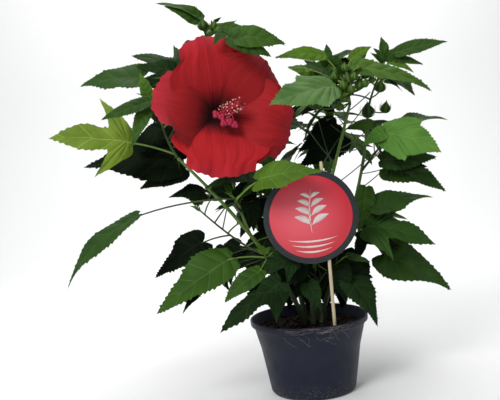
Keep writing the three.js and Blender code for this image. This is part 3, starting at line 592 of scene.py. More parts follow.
def leaf_material(tone):
    """Fresh leaf, grown: a waxy satin skin with pale sunk veins and quilted relief, painted lit and shaded in
    soft patches.
    """
    lit, shaded, vein, gloss = LEAF_TONES[tone]
    lit, shaded = rgb(lit), rgb(shaded)
    material, tree, inputs = start_material(f"leaf_skin_{tone}", Roughness=0.6, Specular_IOR_Level=gloss)
    sheet = add(tree, "SeparateXYZ", {0: add(tree, "UVMap", uv_map="surface")}).node
    edge = add(tree, "Math", {0: sheet.outputs["X"], 1: 0.5}, operation="SUBTRACT")
    edge = add(tree, "Math", {0: edge}, operation="ABSOLUTE")
    midrib = add(tree, "ValToRGB", {0: edge}, stops=((0.0, 1.0), (0.02, 0.0)))
    wave = add(tree, "Math", {0: sheet.outputs["Y"], 1: RIBS * math.pi}, operation="MULTIPLY")
    wave = add(tree, "Math", {0: wave}, operation="COSINE")
    wave = add(tree, "Math", {0: wave}, operation="ABSOLUTE")
    ribs = add(tree, "ValToRGB", {0: wave}, stops=((0.0, 0.7), (0.14, 0.0)))
    veins = add(tree, "Math", {0: midrib, 1: ribs}, operation="MAXIMUM")
    shade = add(tree, "Attribute", attribute_name="shade", out="Fac")
    # Painted light and shade: patches of the lit and the shaded colour, set by each leaf's shade and a coarse
    # grain.
    painted_light_mask = add(tree, "Math", {0: shade, 1: 0.5, 2: grain(tree, 28)}, operation="MULTIPLY_ADD")
    painted_light_mask = add(tree, "ValToRGB", {0: painted_light_mask}, stops=((0.4, 0.0), (1.0, 1.0)))
    skin = add(tree, "Mix", {0: painted_light_mask, 6: shaded, 7: lit}, out=2, data_type="RGBA")
    pale = tuple(mix(a, b, 0.4) for a, b in zip(lit, rgb("#B5CC80")))
    veins = add(tree, "Math", {0: veins, 1: vein}, operation="MULTIPLY")
    colour = add(tree, "Mix", {0: veins, 6: skin, 7: pale}, out=2, data_type="RGBA")
    quilt = add(tree, "Math", {0: grain(tree, 2.5), 1: 0.5, 2: wave}, operation="MULTIPLY_ADD")
    colour_and_relief(tree, inputs, colour, quilt, 0.8, 0.7)
    return material


def pot_material(colour):
    """Polypropylene, moulded and handled: a dull satin with faint dust, and splashed specks low down."""
    material, tree, inputs = start_material("polypropylene_moulded", Specular_IOR_Level=0.3)
    dust = add(tree, "ValToRGB", {0: grain(tree, 22, 5)}, stops=((0.48, 0.0), (0.85, 0.22)))
    skin = add(tree, "Mix", {0: dust, 6: colour, 7: rgb("#2A2F3C")}, out=2, data_type="RGBA")
    height = add(tree, "SeparateXYZ", {0: add(tree, "TexCoord", out="Object")}, out="Z")
    low = add(tree, "MapRange", {"Value": height, "From Min": 30 * MM, "From Max": 0.0})
    specks = add(tree, "ValToRGB", {0: grain(tree, 1.8, 3)}, stops=((0.56, 0.0), (0.64, 0.5)))
    splash = add(tree, "Math", {0: low, 1: specks}, operation="MULTIPLY")
    skin = add(tree, "Mix", {0: splash, 6: skin, 7: rgb("#8C8B88")}, out=2, data_type="RGBA")
    rough = add(tree, "ValToRGB", {0: grain(tree, 30)}, stops=((0.3, 0.42), (0.7, 0.6)))
    tree.links.new(rough, inputs["Roughness"])
    colour_and_relief(tree, inputs, skin, grain(tree, 1.6, 2), 0.12, 0.5)
    return material


def soil_material():
    """Peat compost, loose and moist: near-black crumbs with brown fibre, and no shine."""
    material, tree, inputs = start_material("peat_compost", Roughness=0.94, Specular_IOR_Level=0.15)
    crumbs = grain(tree, 3.2, 6, 0.7)
    stops = ((0.34, rgb("#0B0706")), (0.56, rgb("#22150F")), (0.76, rgb("#573A26")))
    colour_and_relief(tree, inputs, add(tree, "ValToRGB", {0: crumbs}, stops=stops), crumbs, 1.5, 0.9)
    return material


def stem_material(name, foot, top, low_mm, high_mm):
    """Half-woody green shoot, grown: brown and ribbed at the foot, smooth and waxy green above."""
    material, tree, inputs = start_material(name, Roughness=0.48, Specular_IOR_Level=0.35)
    height = add(tree, "SeparateXYZ", {0: add(tree, "TexCoord", out="Object")}, out="Z")
    streaks = grain(tree, 4, 4, 0.6, (1, 1, 0.18))
    share = add(tree, "MapRange", {"Value": height, "From Min": low_mm * MM, "From Max": high_mm * MM})
    share = add(tree, "Math", {0: streaks, 1: 0.12, 2: share}, operation="MULTIPLY_ADD", use_clamp=True)
    skin = add(tree, "Mix", {0: share, 6: foot, 7: top}, out=2, data_type="RGBA")
    flecks = add(tree, "ValToRGB", {0: streaks}, stops=((0.3, 0.4), (0.62, 0.0)))
    skin = add(tree, "Mix", {0: flecks, 6: skin, 7: foot}, out=2, data_type="RGBA")
    colour_and_relief(tree, inputs, skin, streaks, 0.4)
    return material


def bud_material(ripe, young):
    """Bud skin, grown: dull green, yellowish on the young buds and along each bud's five ridges."""
    material, tree, inputs = start_material("bud_skin", Roughness=0.5, Specular_IOR_Level=0.25)
    shade = add(tree, "Attribute", attribute_name="shade", out="Fac")
    grains = grain(tree, 3)
    sheet = add(tree, "SeparateXYZ", {0: add(tree, "UVMap", uv_map="surface")}).node
    ridges = add(tree, "Math", {0: sheet.outputs["X"], 1: 10 * math.pi}, operation="MULTIPLY")
    ridges = add(tree, "Math", {0: ridges}, operation="COSINE")
    share = add(tree, "Math", {0: grains, 1: 0.9, 2: shade}, operation="MULTIPLY_ADD")
    share = add(tree, "Math", {0: ridges, 1: 0.3, 2: share}, operation="MULTIPLY_ADD")
    share = add(tree, "Math", {0: share, 1: 0.35}, operation="SUBTRACT", use_clamp=True)
    skin = add(tree, "Mix", {0: share, 6: ripe, 7: young}, out=2, data_type="RGBA")
    colour_and_relief(tree, inputs, skin, grains, 0.3, 0.4)
    return material


def petal_material(red, throat):
    """Fresh petal, grown: thin matt tissue with a soft sheen, fine rays, painted light and shade from petal
    to petal, and a stained throat that is partly painted shade.
    """
    look = {"Roughness": 0.7, "Specular_IOR_Level": 0.15, "Sheen_Weight": 0.08, "Sheen_Roughness": 0.4}
    material, tree, inputs = start_material("petal_tissue", **look)
    sheet = add(tree, "SeparateXYZ", {0: add(tree, "UVMap", uv_map="surface")}).node
    across = add(tree, "Math", {0: sheet.outputs["X"], 1: 46.0}, operation="MULTIPLY")
    along = add(tree, "Math", {0: sheet.outputs["Y"], 1: 2.2}, operation="MULTIPLY")
    place = add(tree, "CombineXYZ", {"X": across, "Y": along})
    rays = add(tree, "TexNoise", {"Vector": place, "Scale": 1.0, "Detail": 3.0}, out="Fac")
    ray = add(tree, "ValToRGB", {0: rays}, stops=((0.34, 0.0), (0.66, 1.0)))
    # Painted light and shade: each petal's red is darkened or lightened by its own value in the shade
    # attribute.
    tone = add(tree, "Attribute", attribute_name="shade", out="Fac")
    dark, bright = (tuple(c * factor for c in red[:3]) + (1,) for factor in (0.62, 1.3))
    skin = add(tree, "Mix", {0: tone, 6: dark, 7: bright}, out=2, data_type="RGBA")
    deep = add(tree, "Mix", {0: 0.28, 6: skin, 7: rgb("#3A0508")}, out=2, data_type="RGBA")
    skin = add(tree, "Mix", {0: ray, 6: deep, 7: skin}, out=2, data_type="RGBA")
    rim = add(tree, "ValToRGB", {0: sheet.outputs["Y"]}, stops=((0.78, 0.0), (1.0, 0.5)))
    skin = add(tree, "Mix", {0: rim, 6: skin, 7: rgb("#B2253A")}, out=2, data_type="RGBA")
    # The throat's dark stain: partly the real dark eye, partly painted shade deep in the throat.
    stain_and_shade = add(tree, "Math", {0: rays, 1: 0.16, 2: sheet.outputs["Y"]}, operation="MULTIPLY_ADD")
    stain_and_shade = add(tree, "ValToRGB", {0: stain_and_shade}, stops=((0.15, 1.0), (0.38, 0.0)))
    skin = add(tree, "Mix", {0: stain_and_shade, 6: skin, 7: throat}, out=2, data_type="RGBA")
    colour_and_relief(tree, inputs, skin, rays, 0.5, 0.5)
    return material


def anther_material():
    """Ripe anthers, grown: dusty and matt, cream where the pollen shows and rose where it doesn't yet."""
    material, tree, inputs = start_material("anther_pollen", Roughness=0.85, Specular_IOR_Level=0.15)
    shade = add(tree, "Attribute", attribute_name="shade", out="Fac")
    skin = add(tree, "Mix", {0: shade, 6: rgb("#A82C3A"), 7: rgb("#E6B8A6")}, out=2, data_type="RGBA")
    colour_and_relief(tree, inputs, skin, grain(tree, 1.2), 0.2, 0.5)
    return material


def plain_material(name, colour, roughness, grain_mm=4.0, depth_mm=0.15, gloss=0.3):
    """Soft plant part or printed card in one colour: even, with a slight grain so that it isn't flat."""
    material, tree, inputs = start_material(name, Roughness=roughness, Specular_IOR_Level=gloss)
    darker = tuple(c * 0.6 for c in colour[:3]) + (1,)
    grains = grain(tree, grain_mm)
    skin = add(tree, "Mix", {0: grains, 6: darker, 7: colour}, out=2, data_type="RGBA")
    colour_and_relief(tree, inputs, skin, grains, depth_mm, 0.4)
    return material


def field_material(red, pink, centre):
    """Laminated card, printed: an even satin film over a red that pales to pink in the middle."""
    material, tree, inputs = start_material("laminated_card_field", Roughness=0.34, Specular_IOR_Level=0.4)
    where = add(tree, "TexCoord", out="Object")
    far = add(tree, "VectorMath", {0: where, 1: tuple(centre * MM)}, out="Value", operation="DISTANCE")
    share = add(tree, "MapRange", {"Value": far, "From Min": 0.008, "From Max": 0.07})
    colour = add(tree, "Mix", {0: share, 6: pink, 7: red}, out=2, data_type="RGBA")
    tree.links.new(colour, inputs["Base Color"])
    return material


def wood_material(colour):
    """Birch, sawn and sanded: pale and dull, with fine grain along its length."""
    material, tree, inputs = start_material("birch_sanded", Roughness=0.65, Specular_IOR_Level=0.3)
    fibre = grain(tree, 2.4, 4, 0.6, (1, 1, 0.06))
    dark = tuple(c * 0.7 for c in colour[:3]) + (1,)
    skin = add(tree, "Mix", {0: fibre, 6: dark, 7: colour}, out=2, data_type="RGBA")
    colour_and_relief(tree, inputs, skin, fibre, 0.2, 0.4)
    return material


# ---------------------------------------------------------------- settings
def length_setting(name, description, size_mm):
    """A length, shown in metres."""
    return bpy.props.FloatProperty(name=name, description=description, default=size_mm * MM, unit="LENGTH")


def share_setting(name, description, share):
    """A share of another size."""
    return bpy.props.FloatProperty(name=name, description=description, default=share, subtype="FACTOR")


def angle_setting(name, description, degrees):
    """An angle."""
    value = math.radians(degrees)
    return bpy.props.FloatProperty(name=name, description=description, default=value, subtype="ANGLE")


def count_setting(name, description, count):
    """A whole number."""
    return bpy.props.IntProperty(name=name, description=description, default=count)


def colour_setting(name, description, code):
    """A colour, from its sRGB hex code."""
    value = rgb(code)
    return bpy.props.FloatVectorProperty(
        name=name, description=description, subtype="COLOR", size=4, default=value
    )


class PotSettings(bpy.types.PropertyGroup):
    """Sizes and colour of the nursery pot and what lies in and on it."""

    height: length_setting("Height", "Pot height", 120)
    rim_radius: length_setting("Rim radius", "Outer radius of the rim", 95)
    waist_radius: length_setting("Waist radius", "Outer radius under the flare", 80)
    base_radius: length_setting("Base radius", "Outer radius of the foot", 69)
    wall: length_setting("Wall", "Wall thickness", 2.4)
    colour: colour_setting("Colour", "Pot colour", "#10152A")
    clods: count_setting("Clods", "Crumbs of compost on the surface", 420)
    fibres: count_setting("Fibres", "Fibres on the compost", 90)
    rootlets: count_setting("Rootlets", "Fine roots on the pot's wall", 30)


class StemSettings(bpy.types.PropertyGroup):
    """Thickness, relief and colours of the stems."""

    foot_radius: length_setting("Foot radius", "Stem radius above its flare", 4.1)
    tip_radius: length_setting("Tip radius", "Stem radius at its tip", 2.1)
    relief: share_setting("Relief", "Depth of the ribs, over the radius", 0.07)
    foot_colour: colour_setting("Foot colour", "Skin at the soil", "#252C16")
    top_colour: colour_setting("Top colour", "Skin of the young stem", "#56762A")


class LeafSettings(bpy.types.PropertyGroup):
    """How finely the leaves are drawn."""

    rows: count_setting("Rows", "Rows along a long blade", 48)
    columns: count_setting("Columns", "Columns over a blade", 12)
    teeth: share_setting("Teeth", "Depth of the margin's teeth, over the length", 0.023)
    wave: share_setting("Wave", "Height of the margin's waves, over the length", 0.036)
    quilt: share_setting("Quilt", "Rise between the veins, over the length", 0.014)
    young: count_setting("Young leaves", "Small leaves at each twig's tip", 3)


class BudSettings(bpy.types.PropertyGroup):
    """Sizes and colours of the flower buds."""

    radius: length_setting("Radius", "Bud radius", 8)
    bracts: count_setting("Bracts", "Thin bracts under each bud", 10)
    colour: colour_setting("Colour", "Ripe bud", "#20360F")
    young_colour: colour_setting("Young colour", "Young bud", "#53751F")


class BloomSettings(bpy.types.PropertyGroup):
    """Sizes and colours of the bloom."""

    reach: length_setting("Reach", "From the axis to the rim", 104)
    breadth: length_setting("Breadth", "A petal's breadth", 122)
    ruffle: length_setting("Ruffle", "Height of the rim's waves", 3.7)
    anthers: count_setting("Anthers", "Anthers on the column", 120)
    red: colour_setting("Petal red", "Petal colour", "#A41B20")
    # The throat's colour is partly its real stain and partly painted shade.
    throat: colour_setting("Throat", "Stain in the throat", "#22070C")


class LabelSettings(bpy.types.PropertyGroup):
    """Sizes and colours of the label."""

    radius: length_setting("Radius", "Label radius", 71)
    border: length_setting("Border", "Border width", 9)
    dots: count_setting("Dots", "Raised dots round the border", 84)
    border_colour: colour_setting("Border colour", "Colour of the border", "#2C3035")
    red: colour_setting("Field red", "Main colour", "#C22A36")
    pink: colour_setting("Field pink", "Paler colour", "#DE5A68")


class StageSettings(bpy.types.PropertyGroup):
    """The camera's place and lens."""

    distance: length_setting("Distance", "From the camera to the pot's axis", 1150)
    height: length_setting("Height", "Camera height", 370)
    left: length_setting("Left", "Camera's place left of the pot", 80)
    down: angle_setting("Down", "Tilt below the horizon", 2.84)
    roll: angle_setting("Roll", "Turn about the line of sight", 4.5)
    lens: bpy.props.FloatProperty(name="Lens", description="Focal length", default=51.62, unit="CAMERA")


# ---------------------------------------------------------------- pot and compost
def pot_profile(s):
    """The pot's outline from the axis under the floor, round the lip and back to the axis, in millimetres."""
    base, waist, rim, high, wall = (
        value / MM for value in (s.base_radius, s.waist_radius, s.rim_radius, s.height, s.wall)
    )
    outer = [(0, 0), (base - 12, 0), (base - 6, 0.2), (base - 2.6, 1.4), (base - 0.8, 3.6), (base, 7)]
    outer += [(mix(base, waist, t), mix(7, WAIST_HEIGHT, t)) for t in (0.2, 0.4, 0.6, 0.8, 1)]
    outer += [(mix(waist, rim - 5.4, t), mix(WAIST_HEIGHT, high - 11, t)) for t in (0.25, 0.5, 0.75, 1)]
    outer += [(rim - 2.4, high - 10), (rim - 1, high - 9.4), (rim - 0.6, high - 8.4), (rim - 0.2, high - 1.6)]
    outer += [(rim - 0.8, high - 0.3), (rim - wall / 2, high), (rim - wall + 0.4, high - 0.5)]
    inner = [(rim - wall - 0.2, high - 3), (waist - wall + 8.6, high - 16), (waist - wall, 70)]
    return outer + inner + [(base - wall, 9), (base - wall - 5, 3), (0, 2.8)]


def rootlet_path(s, k, steps=14):
    """The k-th rootlet's points, wandering over the front of the pot's wall."""
    turn = math.radians(-124 + 62 * steady(k + 0.3))
    drop = 3 + 22 * steady(k + 0.7) ** 1.8  # below the lip
    heading, path = 1.6 * (steady(k + 4.4) - 0.5), []
    waist, rim = s.waist_radius / MM, s.rim_radius / MM
    for n in range(steps):
        heading += 0.9 * (steady(3.1 * k + n) - 0.5)
        turn += math.radians(1.3 * math.cos(heading))
        drop = max(2, drop + 2.1 * math.sin(heading))
        high = s.height / MM - drop
        radius = rim - 0.2
        if drop > RIM_BAND:
            share = (high - WAIST_HEIGHT) / (s.height / MM - RIM_BAND - WAIST_HEIGHT)
            radius = mix(waist, rim - 5, max(0, share)) + 0.1
        path.append(Vector((radius * math.cos(turn), radius * math.sin(turn), high)))
    return path


class HIBISCUS_OT_pot(bpy.types.Operator):
    """Adds the nursery pot, and the fine roots that cling to its wall."""

    bl_idname = "hibiscus.add_pot"
    bl_label = "Add pot"

    def execute(self, context):
        s = context.scene.hibiscus_pot
        profile = [Vector((r, 0, z)) * MM for r, z in pot_profile(s)]
        bm = new_shape()
        verts = [bm.verts.new(p) for p in profile]
        edges = [bm.edges.new(pair) for pair in zip(verts, verts[1:])]
        bmesh.ops.spin(
            bm, geom=verts + edges, axis=(0, 0, 1), cent=(0, 0, 0), angle=2 * math.pi, steps=96,
            use_merge=True,
        )
        bmesh.ops.remove_doubles(bm, verts=bm.verts, dist=MERGE)
        # Three shallow notches let water out from under the foot.
        reach, depth = 5, 2.4  # degrees to each side, and millimetres
        for vert in bm.verts:
            turn = math.degrees(math.atan2(vert.co.y, vert.co.x)) % 120 - 30
            outside = vert.co.xy.length > s.base_radius - 13 * MM
            if outside and vert.co.z < 2 * MM and abs(turn) < reach:
                vert.co.z += depth * MM * (1 - abs(turn) / reach)
        bmesh.ops.recalc_face_normals(bm, faces=bm.faces)
        finish_piece("pot_shell", bm, pot_material(tuple(s.colour)), ["pot"])

        bm = new_shape()
        for k in range(s.rootlets):
            width = 0.1 + 0.1 * steady(k + 9.2)
            path = rootlet_path(s, k)
            for a, b in zip(path, path[1:]):
                middle = (a + b) / 2
                middle.xy *= a.xy.length / max(middle.xy.length, 1) * 1.001
                add_tube(bm, [a, middle, b], lambda share: width, 5, 5, steady(k))
        roots = plain_material("rootlets_dried", rgb("#9A948A"), 0.8)
        finish_piece("pot_rootlets", bm, roots)
        return {"FINISHED"}


def ground_at(turn, far):
    """A place on the compost's uneven top, from its turn about the pot's axis and its distance from it."""
    spot = Vector((far * math.cos(turn), far * math.sin(turn), 0))
    spot.z = SOIL_TOP + 2.2 * field(spot / 26) + 1.1 * field(spot / 8) - 1.2
    return spot


class HIBISCUS_OT_soil(bpy.types.Operator):
    """Adds the compost with its crumbs and fibres."""

    bl_idname = "hibiscus.add_soil"
    bl_label = "Add compost"

    def execute(self, context):
        s = context.scene.hibiscus_pot
        bm = new_shape()
        made = add_sheet(bm, 72, 26, lambda u, v: ground_at(2 * math.pi * u, SOIL_RADIUS * v))
        bmesh.ops.remove_doubles(bm, verts=made, dist=10 * MERGE)
        bmesh.ops.recalc_face_normals(bm, faces=bm.faces)
        rim = [edge for edge in bm.edges if edge.is_boundary]
        wall = bmesh.ops.extrude_edge_only(bm, edges=rim)["geom"]
        low = [item for item in wall if isinstance(item, bmesh.types.BMVert)]
        for vert in low:
            vert.co *= 0.93
            vert.co.z = (SOIL_TOP - 12) * MM
        bmesh.ops.contextual_create(bm, geom=[edge for edge in bm.edges if edge.is_boundary])
        bmesh.ops.recalc_face_normals(bm, faces=bm.faces)
        for k in range(s.clods):
            spot = ground_at(2 * math.pi * steady(k + 0.1), (SOIL_RADIUS - 4) * math.sqrt(steady(k + 0.5)))
            size = 0.9 + 2.4 * steady(k + 0.9) ** 3
            place = Matrix.Translation((spot + Vector((0, 0, 0.3 * size))) * MM)
            clod = bmesh.ops.create_icosphere(bm, subdivisions=1, radius=size * MM, matrix=place)["verts"]
            for vert in clod:
                vert.co += (vert.co - spot * MM) * 0.5 * field(vert.co * 700)
        finish_piece("compost", bm, soil_material(), ["soil"])

        bm = new_shape()
        for k in range(s.fibres):
            spot = ground_at(2 * math.pi * steady(k + 0.2), (SOIL_RADIUS - 12) * math.sqrt(steady(k + 0.6)))
            way = 2 * math.pi * steady(k + 0.8)
            long = 5 + 9 * steady(k + 0.4)
            ends = Vector((long * math.cos(way), long * math.sin(way), 0)) / 2
            foot = spot + Vector((0, 0, 0.8))
            bow = Vector((2 * steady(k), 2 * steady(k + 1), 2.5 * steady(k + 2)))
            add_tube(bm, [foot - ends, foot + bow, foot + ends], lambda share: 0.28, 4, 5, steady(k))
        finish_piece("compost_fibres", bm, plain_material("peat_fibre", rgb("#7A4A2E"), 0.85))
        return {"FINISHED"}


# ---------------------------------------------------------------- stems
BRANCH_RADII = (2.6, 2.0)
FLARE, FLARE_HEIGHT = 0.22, 16  # how much wider a stem's foot is, and how high that reaches
JOINT_GAP, JOINT_WIDTH, JOINT_SWELL = 38, 2.6, 0.13  # the swellings where old leaves stood


class HIBISCUS_OT_stems(bpy.types.Operator):
    """Adds the stems and the branch that carries the bloom, with their ribs and joints."""

    bl_idname = "hibiscus.add_stems"
    bl_label = "Add stems"

    def execute(self, context):
        s = context.scene.hibiscus_stems
        bark = stem_material("shoot_skin", tuple(s.foot_colour), tuple(s.top_colour), 110, 330)
        for number, (name, curve) in enumerate(LIMBS.items()):
            branch = name == "branch_bloom"
            foot, tip = BRANCH_RADII if branch else (s.foot_radius / MM, s.tip_radius / MM)
            steps = [point_on(curve, k / 20) for k in range(21)]
            length = sum((b - a).length for a, b in zip(steps, steps[1:]))
            curve = split_after(curve, 0.012 if branch else 0.016)

            def radius(share):
                flare = 0 if branch else FLARE * max(0, 1 - share * length / FLARE_HEIGHT) ** 1.5
                return mix(foot, tip, share) * (1 + flare)

            def relief(share, angle):
                joint = abs((share * length / JOINT_GAP + 0.37 * number) % 1 - 0.5) * JOINT_GAP
                swell = JOINT_SWELL * math.exp(-((joint / JOINT_WIDTH) ** 2))
                ribs = field(Vector((3 * math.cos(angle), 3 * math.sin(angle), share * length / 24)))
                return 1 + swell + s.relief * ribs

            bm = new_shape()
            add_tube(bm, curve, radius, 16, 110, steady(number), relief)
            if not branch:
                for vert in bm.verts:
                    vert.co.z = max(vert.co.z, (SOIL_TOP - 2) * MM)
            finish_piece(f"{name}_skin", bm, bark, [name])
        return {"FINISHED"}


# ---------------------------------------------------------------- leaves, twigs and buds
def margin_at(kind, along):
    """The rib's start and the margin's place at a share of the way from the leaf's base to its tip."""
    stations = MARGINS[kind]
    place = along * (len(stations) - 1)
    low = min(int(place), len(stations) - 2)
    return [mix(a, b, place - low) for a, b in zip(stations[low], stations[low + 1])]


def add_blade(bm, leaf, s, seed):
    """A leaf blade with teeth, waves and a folded midrib."""
    chord = leaf["tip"] - leaf["junction"]
    length = chord.length
    run = chord.normalized()
    side, up = frame_of(run, leaf["facing"])
    rows = max(16, round(s.rows * min(1, 0.4 + length / 130)))
    rows += rows % 2
    breadth = [1 + 0.12 * (steady(seed + n) - 0.5) for n in (1, 2)]
    phase, sway = 6.3 * steady(seed + 3), 0.05 * (steady(seed + 4) - 0.5)

    def place(u, v):
        across = 1 - 2 * u
        edge = abs(across)
        rib, x, y = margin_at(leaf["kind"], v)
        row = round(v * rows)
        if edge > 0.99 and row % 2 and row < rows - 1:
            tooth = s.teeth * (0.25 + 1.3 * steady(seed + 0.37 * row + across)) * (1.2 - 0.6 * v)
            x, y = x + 0.6 * tooth, y + tooth
        along = mix(rib, x, edge)
        wide = math.copysign(y * edge * breadth[across > 0], across)
        # Its arch, fold and sag, the waves of its margin, the quilting between its veins, a bend of its own
        # and some unevenness.
        bow = ARCH * 4 * along * (1 - along)
        lift = bow + FOLD * abs(wide) - SAG * wide * wide
        swing = math.sin(7 * along + phase + 2 * math.copysign(1, across))
        lift += s.wave * edge**2 * swing * min(1, 4 * y)
        lift += s.quilt * abs(math.cos(RIBS * math.pi * v)) * math.sin(math.pi * edge) * min(1, 6 * y)
        lift += 0.05 * along * (1 - along) * math.sin(phase + 3 * along) - 0.04 * along**3
        lift += 0.05 * field(Vector((4 * along, 4 * wide, seed))) * min(1, 4 * y)
        wide += sway * 4 * along * (1 - along)
        return leaf["junction"] + (run * along + side * wide + up * lift) * length

    add_sheet(bm, s.columns, rows, place, steady(seed + 5))


def add_petiole(bm, leaf, seed):
    """The leaf's own stalk, from the twig to just inside the blade."""
    chord = leaf["tip"] - leaf["junction"]
    _, up = frame_of(chord.normalized(), leaf["facing"])
    inside = 0.06  # how far it runs under the blade, over the blade's length
    end = leaf["junction"].lerp(leaf["tip"], inside)
    end += up * (ARCH * 4 * inside * (1 - inside) * chord.length - 0.6)
    bend = leaf["root"].lerp(leaf["junction"], 0.55)
    bend.z += (leaf["root"] - leaf["junction"]).length * leaf["bow"]
    thick = min(1.35, 0.55 + chord.length / 120)
    add_tube(bm, [leaf["root"], bend, end], lambda share: thick * (1.15 - 0.3 * share), 7, 9, steady(seed))


def make_leaf(root, junction, tip, kind, facing, bow, tone):
    """A leaf whose stalk runs from root to junction, bowed upwards, and whose blade runs on to the tip."""
    return {
        "root": root, "junction": junction, "tip": tip, "kind": kind, "facing": Vector(facing).normalized(),
        "bow": bow, "tone": tone,
    }


def rule_leaf(twig, rule, k):
    """The k-th leaf of a mass: it turns round the twig, droops more the lower it sits, and varies by seed."""
    count, heading, blade, petiole, seed, arc = rule

    def vary(item):
        return steady(seed + 7.3 * k + item) - 0.5

    share = (k + 0.7) / count
    turn = arc * (k - 1) if arc else TURN * k
    angle = math.radians(heading + turn + 26 * vary(1))
    outward = Vector((math.cos(angle), math.sin(angle), 0))
    root = point_on(twig, min(1, 0.15 + 0.85 * share))
    reach = petiole * (1.15 - 0.45 * share) * (1 + 0.35 * vary(2))
    junction = root + outward * reach
    junction.z += reach * (0.12 + 0.5 * share)
    length = blade * (1.1 - 0.35 * share) * (1 + 0.3 * vary(3))
    fall = math.radians(52 - 48 * share + 24 * vary(4))
    tip = junction + outward * length * math.cos(fall)
    tip.z -= length * math.sin(fall)
    kind = "lobed" if vary(7) > -0.15 else "heart"
    tone = ("deep", "mid", "mid", "fresh")[int(3.99 * steady(seed + k + 8))]
    return make_leaf(root, junction, tip, kind, (0.5 * vary(5), 0.5 * vary(6), 1), 0.16, tone)


def young_leaf(twig, seed, k, count):
    """A small leaf at the twig's tip, pointing up and out."""
    angle = math.radians(TURN * k + 360 * steady(seed))
    outward = Vector((math.cos(angle), math.sin(angle), 0.35 + 0.5 * steady(seed + k)))
    root = point_on(twig, 1 - 0.12 * k / count)
    junction = root + outward * (7 + 5 * k)
    tip = junction + outward * (15 + 8 * k)
    facing = (-0.6 * outward.x, -0.6 * outward.y, 1)
    return make_leaf(root, junction, tip, ("narrow", "lobed")[k % 2], facing, 0.1, "fresh")


def twig_of(mass):
    """The curve of a mass's twig, from its foot on the limb."""
    return [point_on(LIMBS[mass["limb"]], mass["at"]), Vector(mass["bend"]), Vector(mass["tip"])]


def mass_leaves(name, mass, young):
    """All the leaves of a mass: those with a place of their own, those of its rule, and the young ones."""
    twig, leaves = twig_of(mass), []
    for share, junction, tip, kind, facing, tone in mass.get("leaves", {}).values():
        root = point_on(twig, share)
        leaves.append(make_leaf(root, Vector(junction), Vector(tip), kind, FACING[facing], 0.08, tone))
    if "rule" in mass:
        count, heading, blade, petiole, seed, arc = mass["rule"]
        leaves += [rule_leaf(twig, mass["rule"], k) for k in range(count) if k not in mass["bare"]]
        if count >= INNER_FROM:
            inner = (count, heading + 70, 0.55 * blade, 0.5 * petiole, seed + 40, arc)
            leaves += [rule_leaf(twig, inner, k) for k in range(count)]
    return leaves + [young_leaf(twig, len(name) + mass["tip"][0], k, young) for k in range(young)]


class HIBISCUS_OT_foliage(bpy.types.Operator):
    """Adds the twigs and leaves of every mass, each tone of leaf as a piece of its own."""

    bl_idname = "hibiscus.add_foliage"
    bl_label = "Add foliage"

    def execute(self, context):
        s = context.scene.hibiscus_leaves
        blades = {tone: new_shape() for tone in LEAF_TONES}
        stalks, shaded, twigs = new_shape(), new_shape(), new_shape()
        nodes = {tone: set() for tone in LEAF_TONES}
        for number, (name, mass) in enumerate(MASSES.items()):
            add_tube(twigs, twig_of(mass), lambda share: mix(2.3, 1.3, share), 9, 14, steady(number))
            for k, leaf in enumerate(mass_leaves(name, mass, s.young)):
                seed, tone = 17.3 * number + 3.7 * k, leaf["tone"]
                add_blade(blades[tone], leaf, s, seed)
                add_petiole(shaded if tone in SHADE_STALKED_TONES else stalks, leaf, seed)
                nodes[tone].add(name)
        for number, (limb, share, end) in enumerate(CROSSING):
            root, end = point_on(LIMBS[limb], share), Vector(end)
            bend = root.lerp(end, 0.5) - Vector((0, 0, 0.06 * (end - root).length))
            add_tube(shaded, [root, bend, end], lambda share: 0.85, 6, 9, steady(number))
        for tone, bm in blades.items():
            finish_piece(f"leaves_{tone}", bm, leaf_material(tone), sorted(nodes[tone]))
        low, high = 150, 520  # the heights between which the stalks' colour changes
        green = stem_material("stalk_skin", rgb("#4F6B2C"), rgb("#78993C"), low, high)
        finish_piece("leaf_stalks", stalks, green, list(MASSES))
        # Painted shade: a darker copy of the stalks' skin, for the stalks and twigs that stand in shadow.
        dull = stem_material("stalk_skin_shaded", rgb("#222C12"), rgb("#3B5220"), low, high)
        finish_piece("leaf_stalks_shaded", shaded, dull, list(MASSES))
        finish_piece("twigs", twigs, dull, list(MASSES))
        return {"FINISHED"}


# A bud's radius at even steps from its base to its point, over its full radius.
BUD_OUTLINE = (0.0, 0.7, 0.96, 1.04, 0.98, 0.8, 0.52, 0.25, 0.09, 0.0)
BUD_ROWS = len(BUD_OUTLINE) - 1


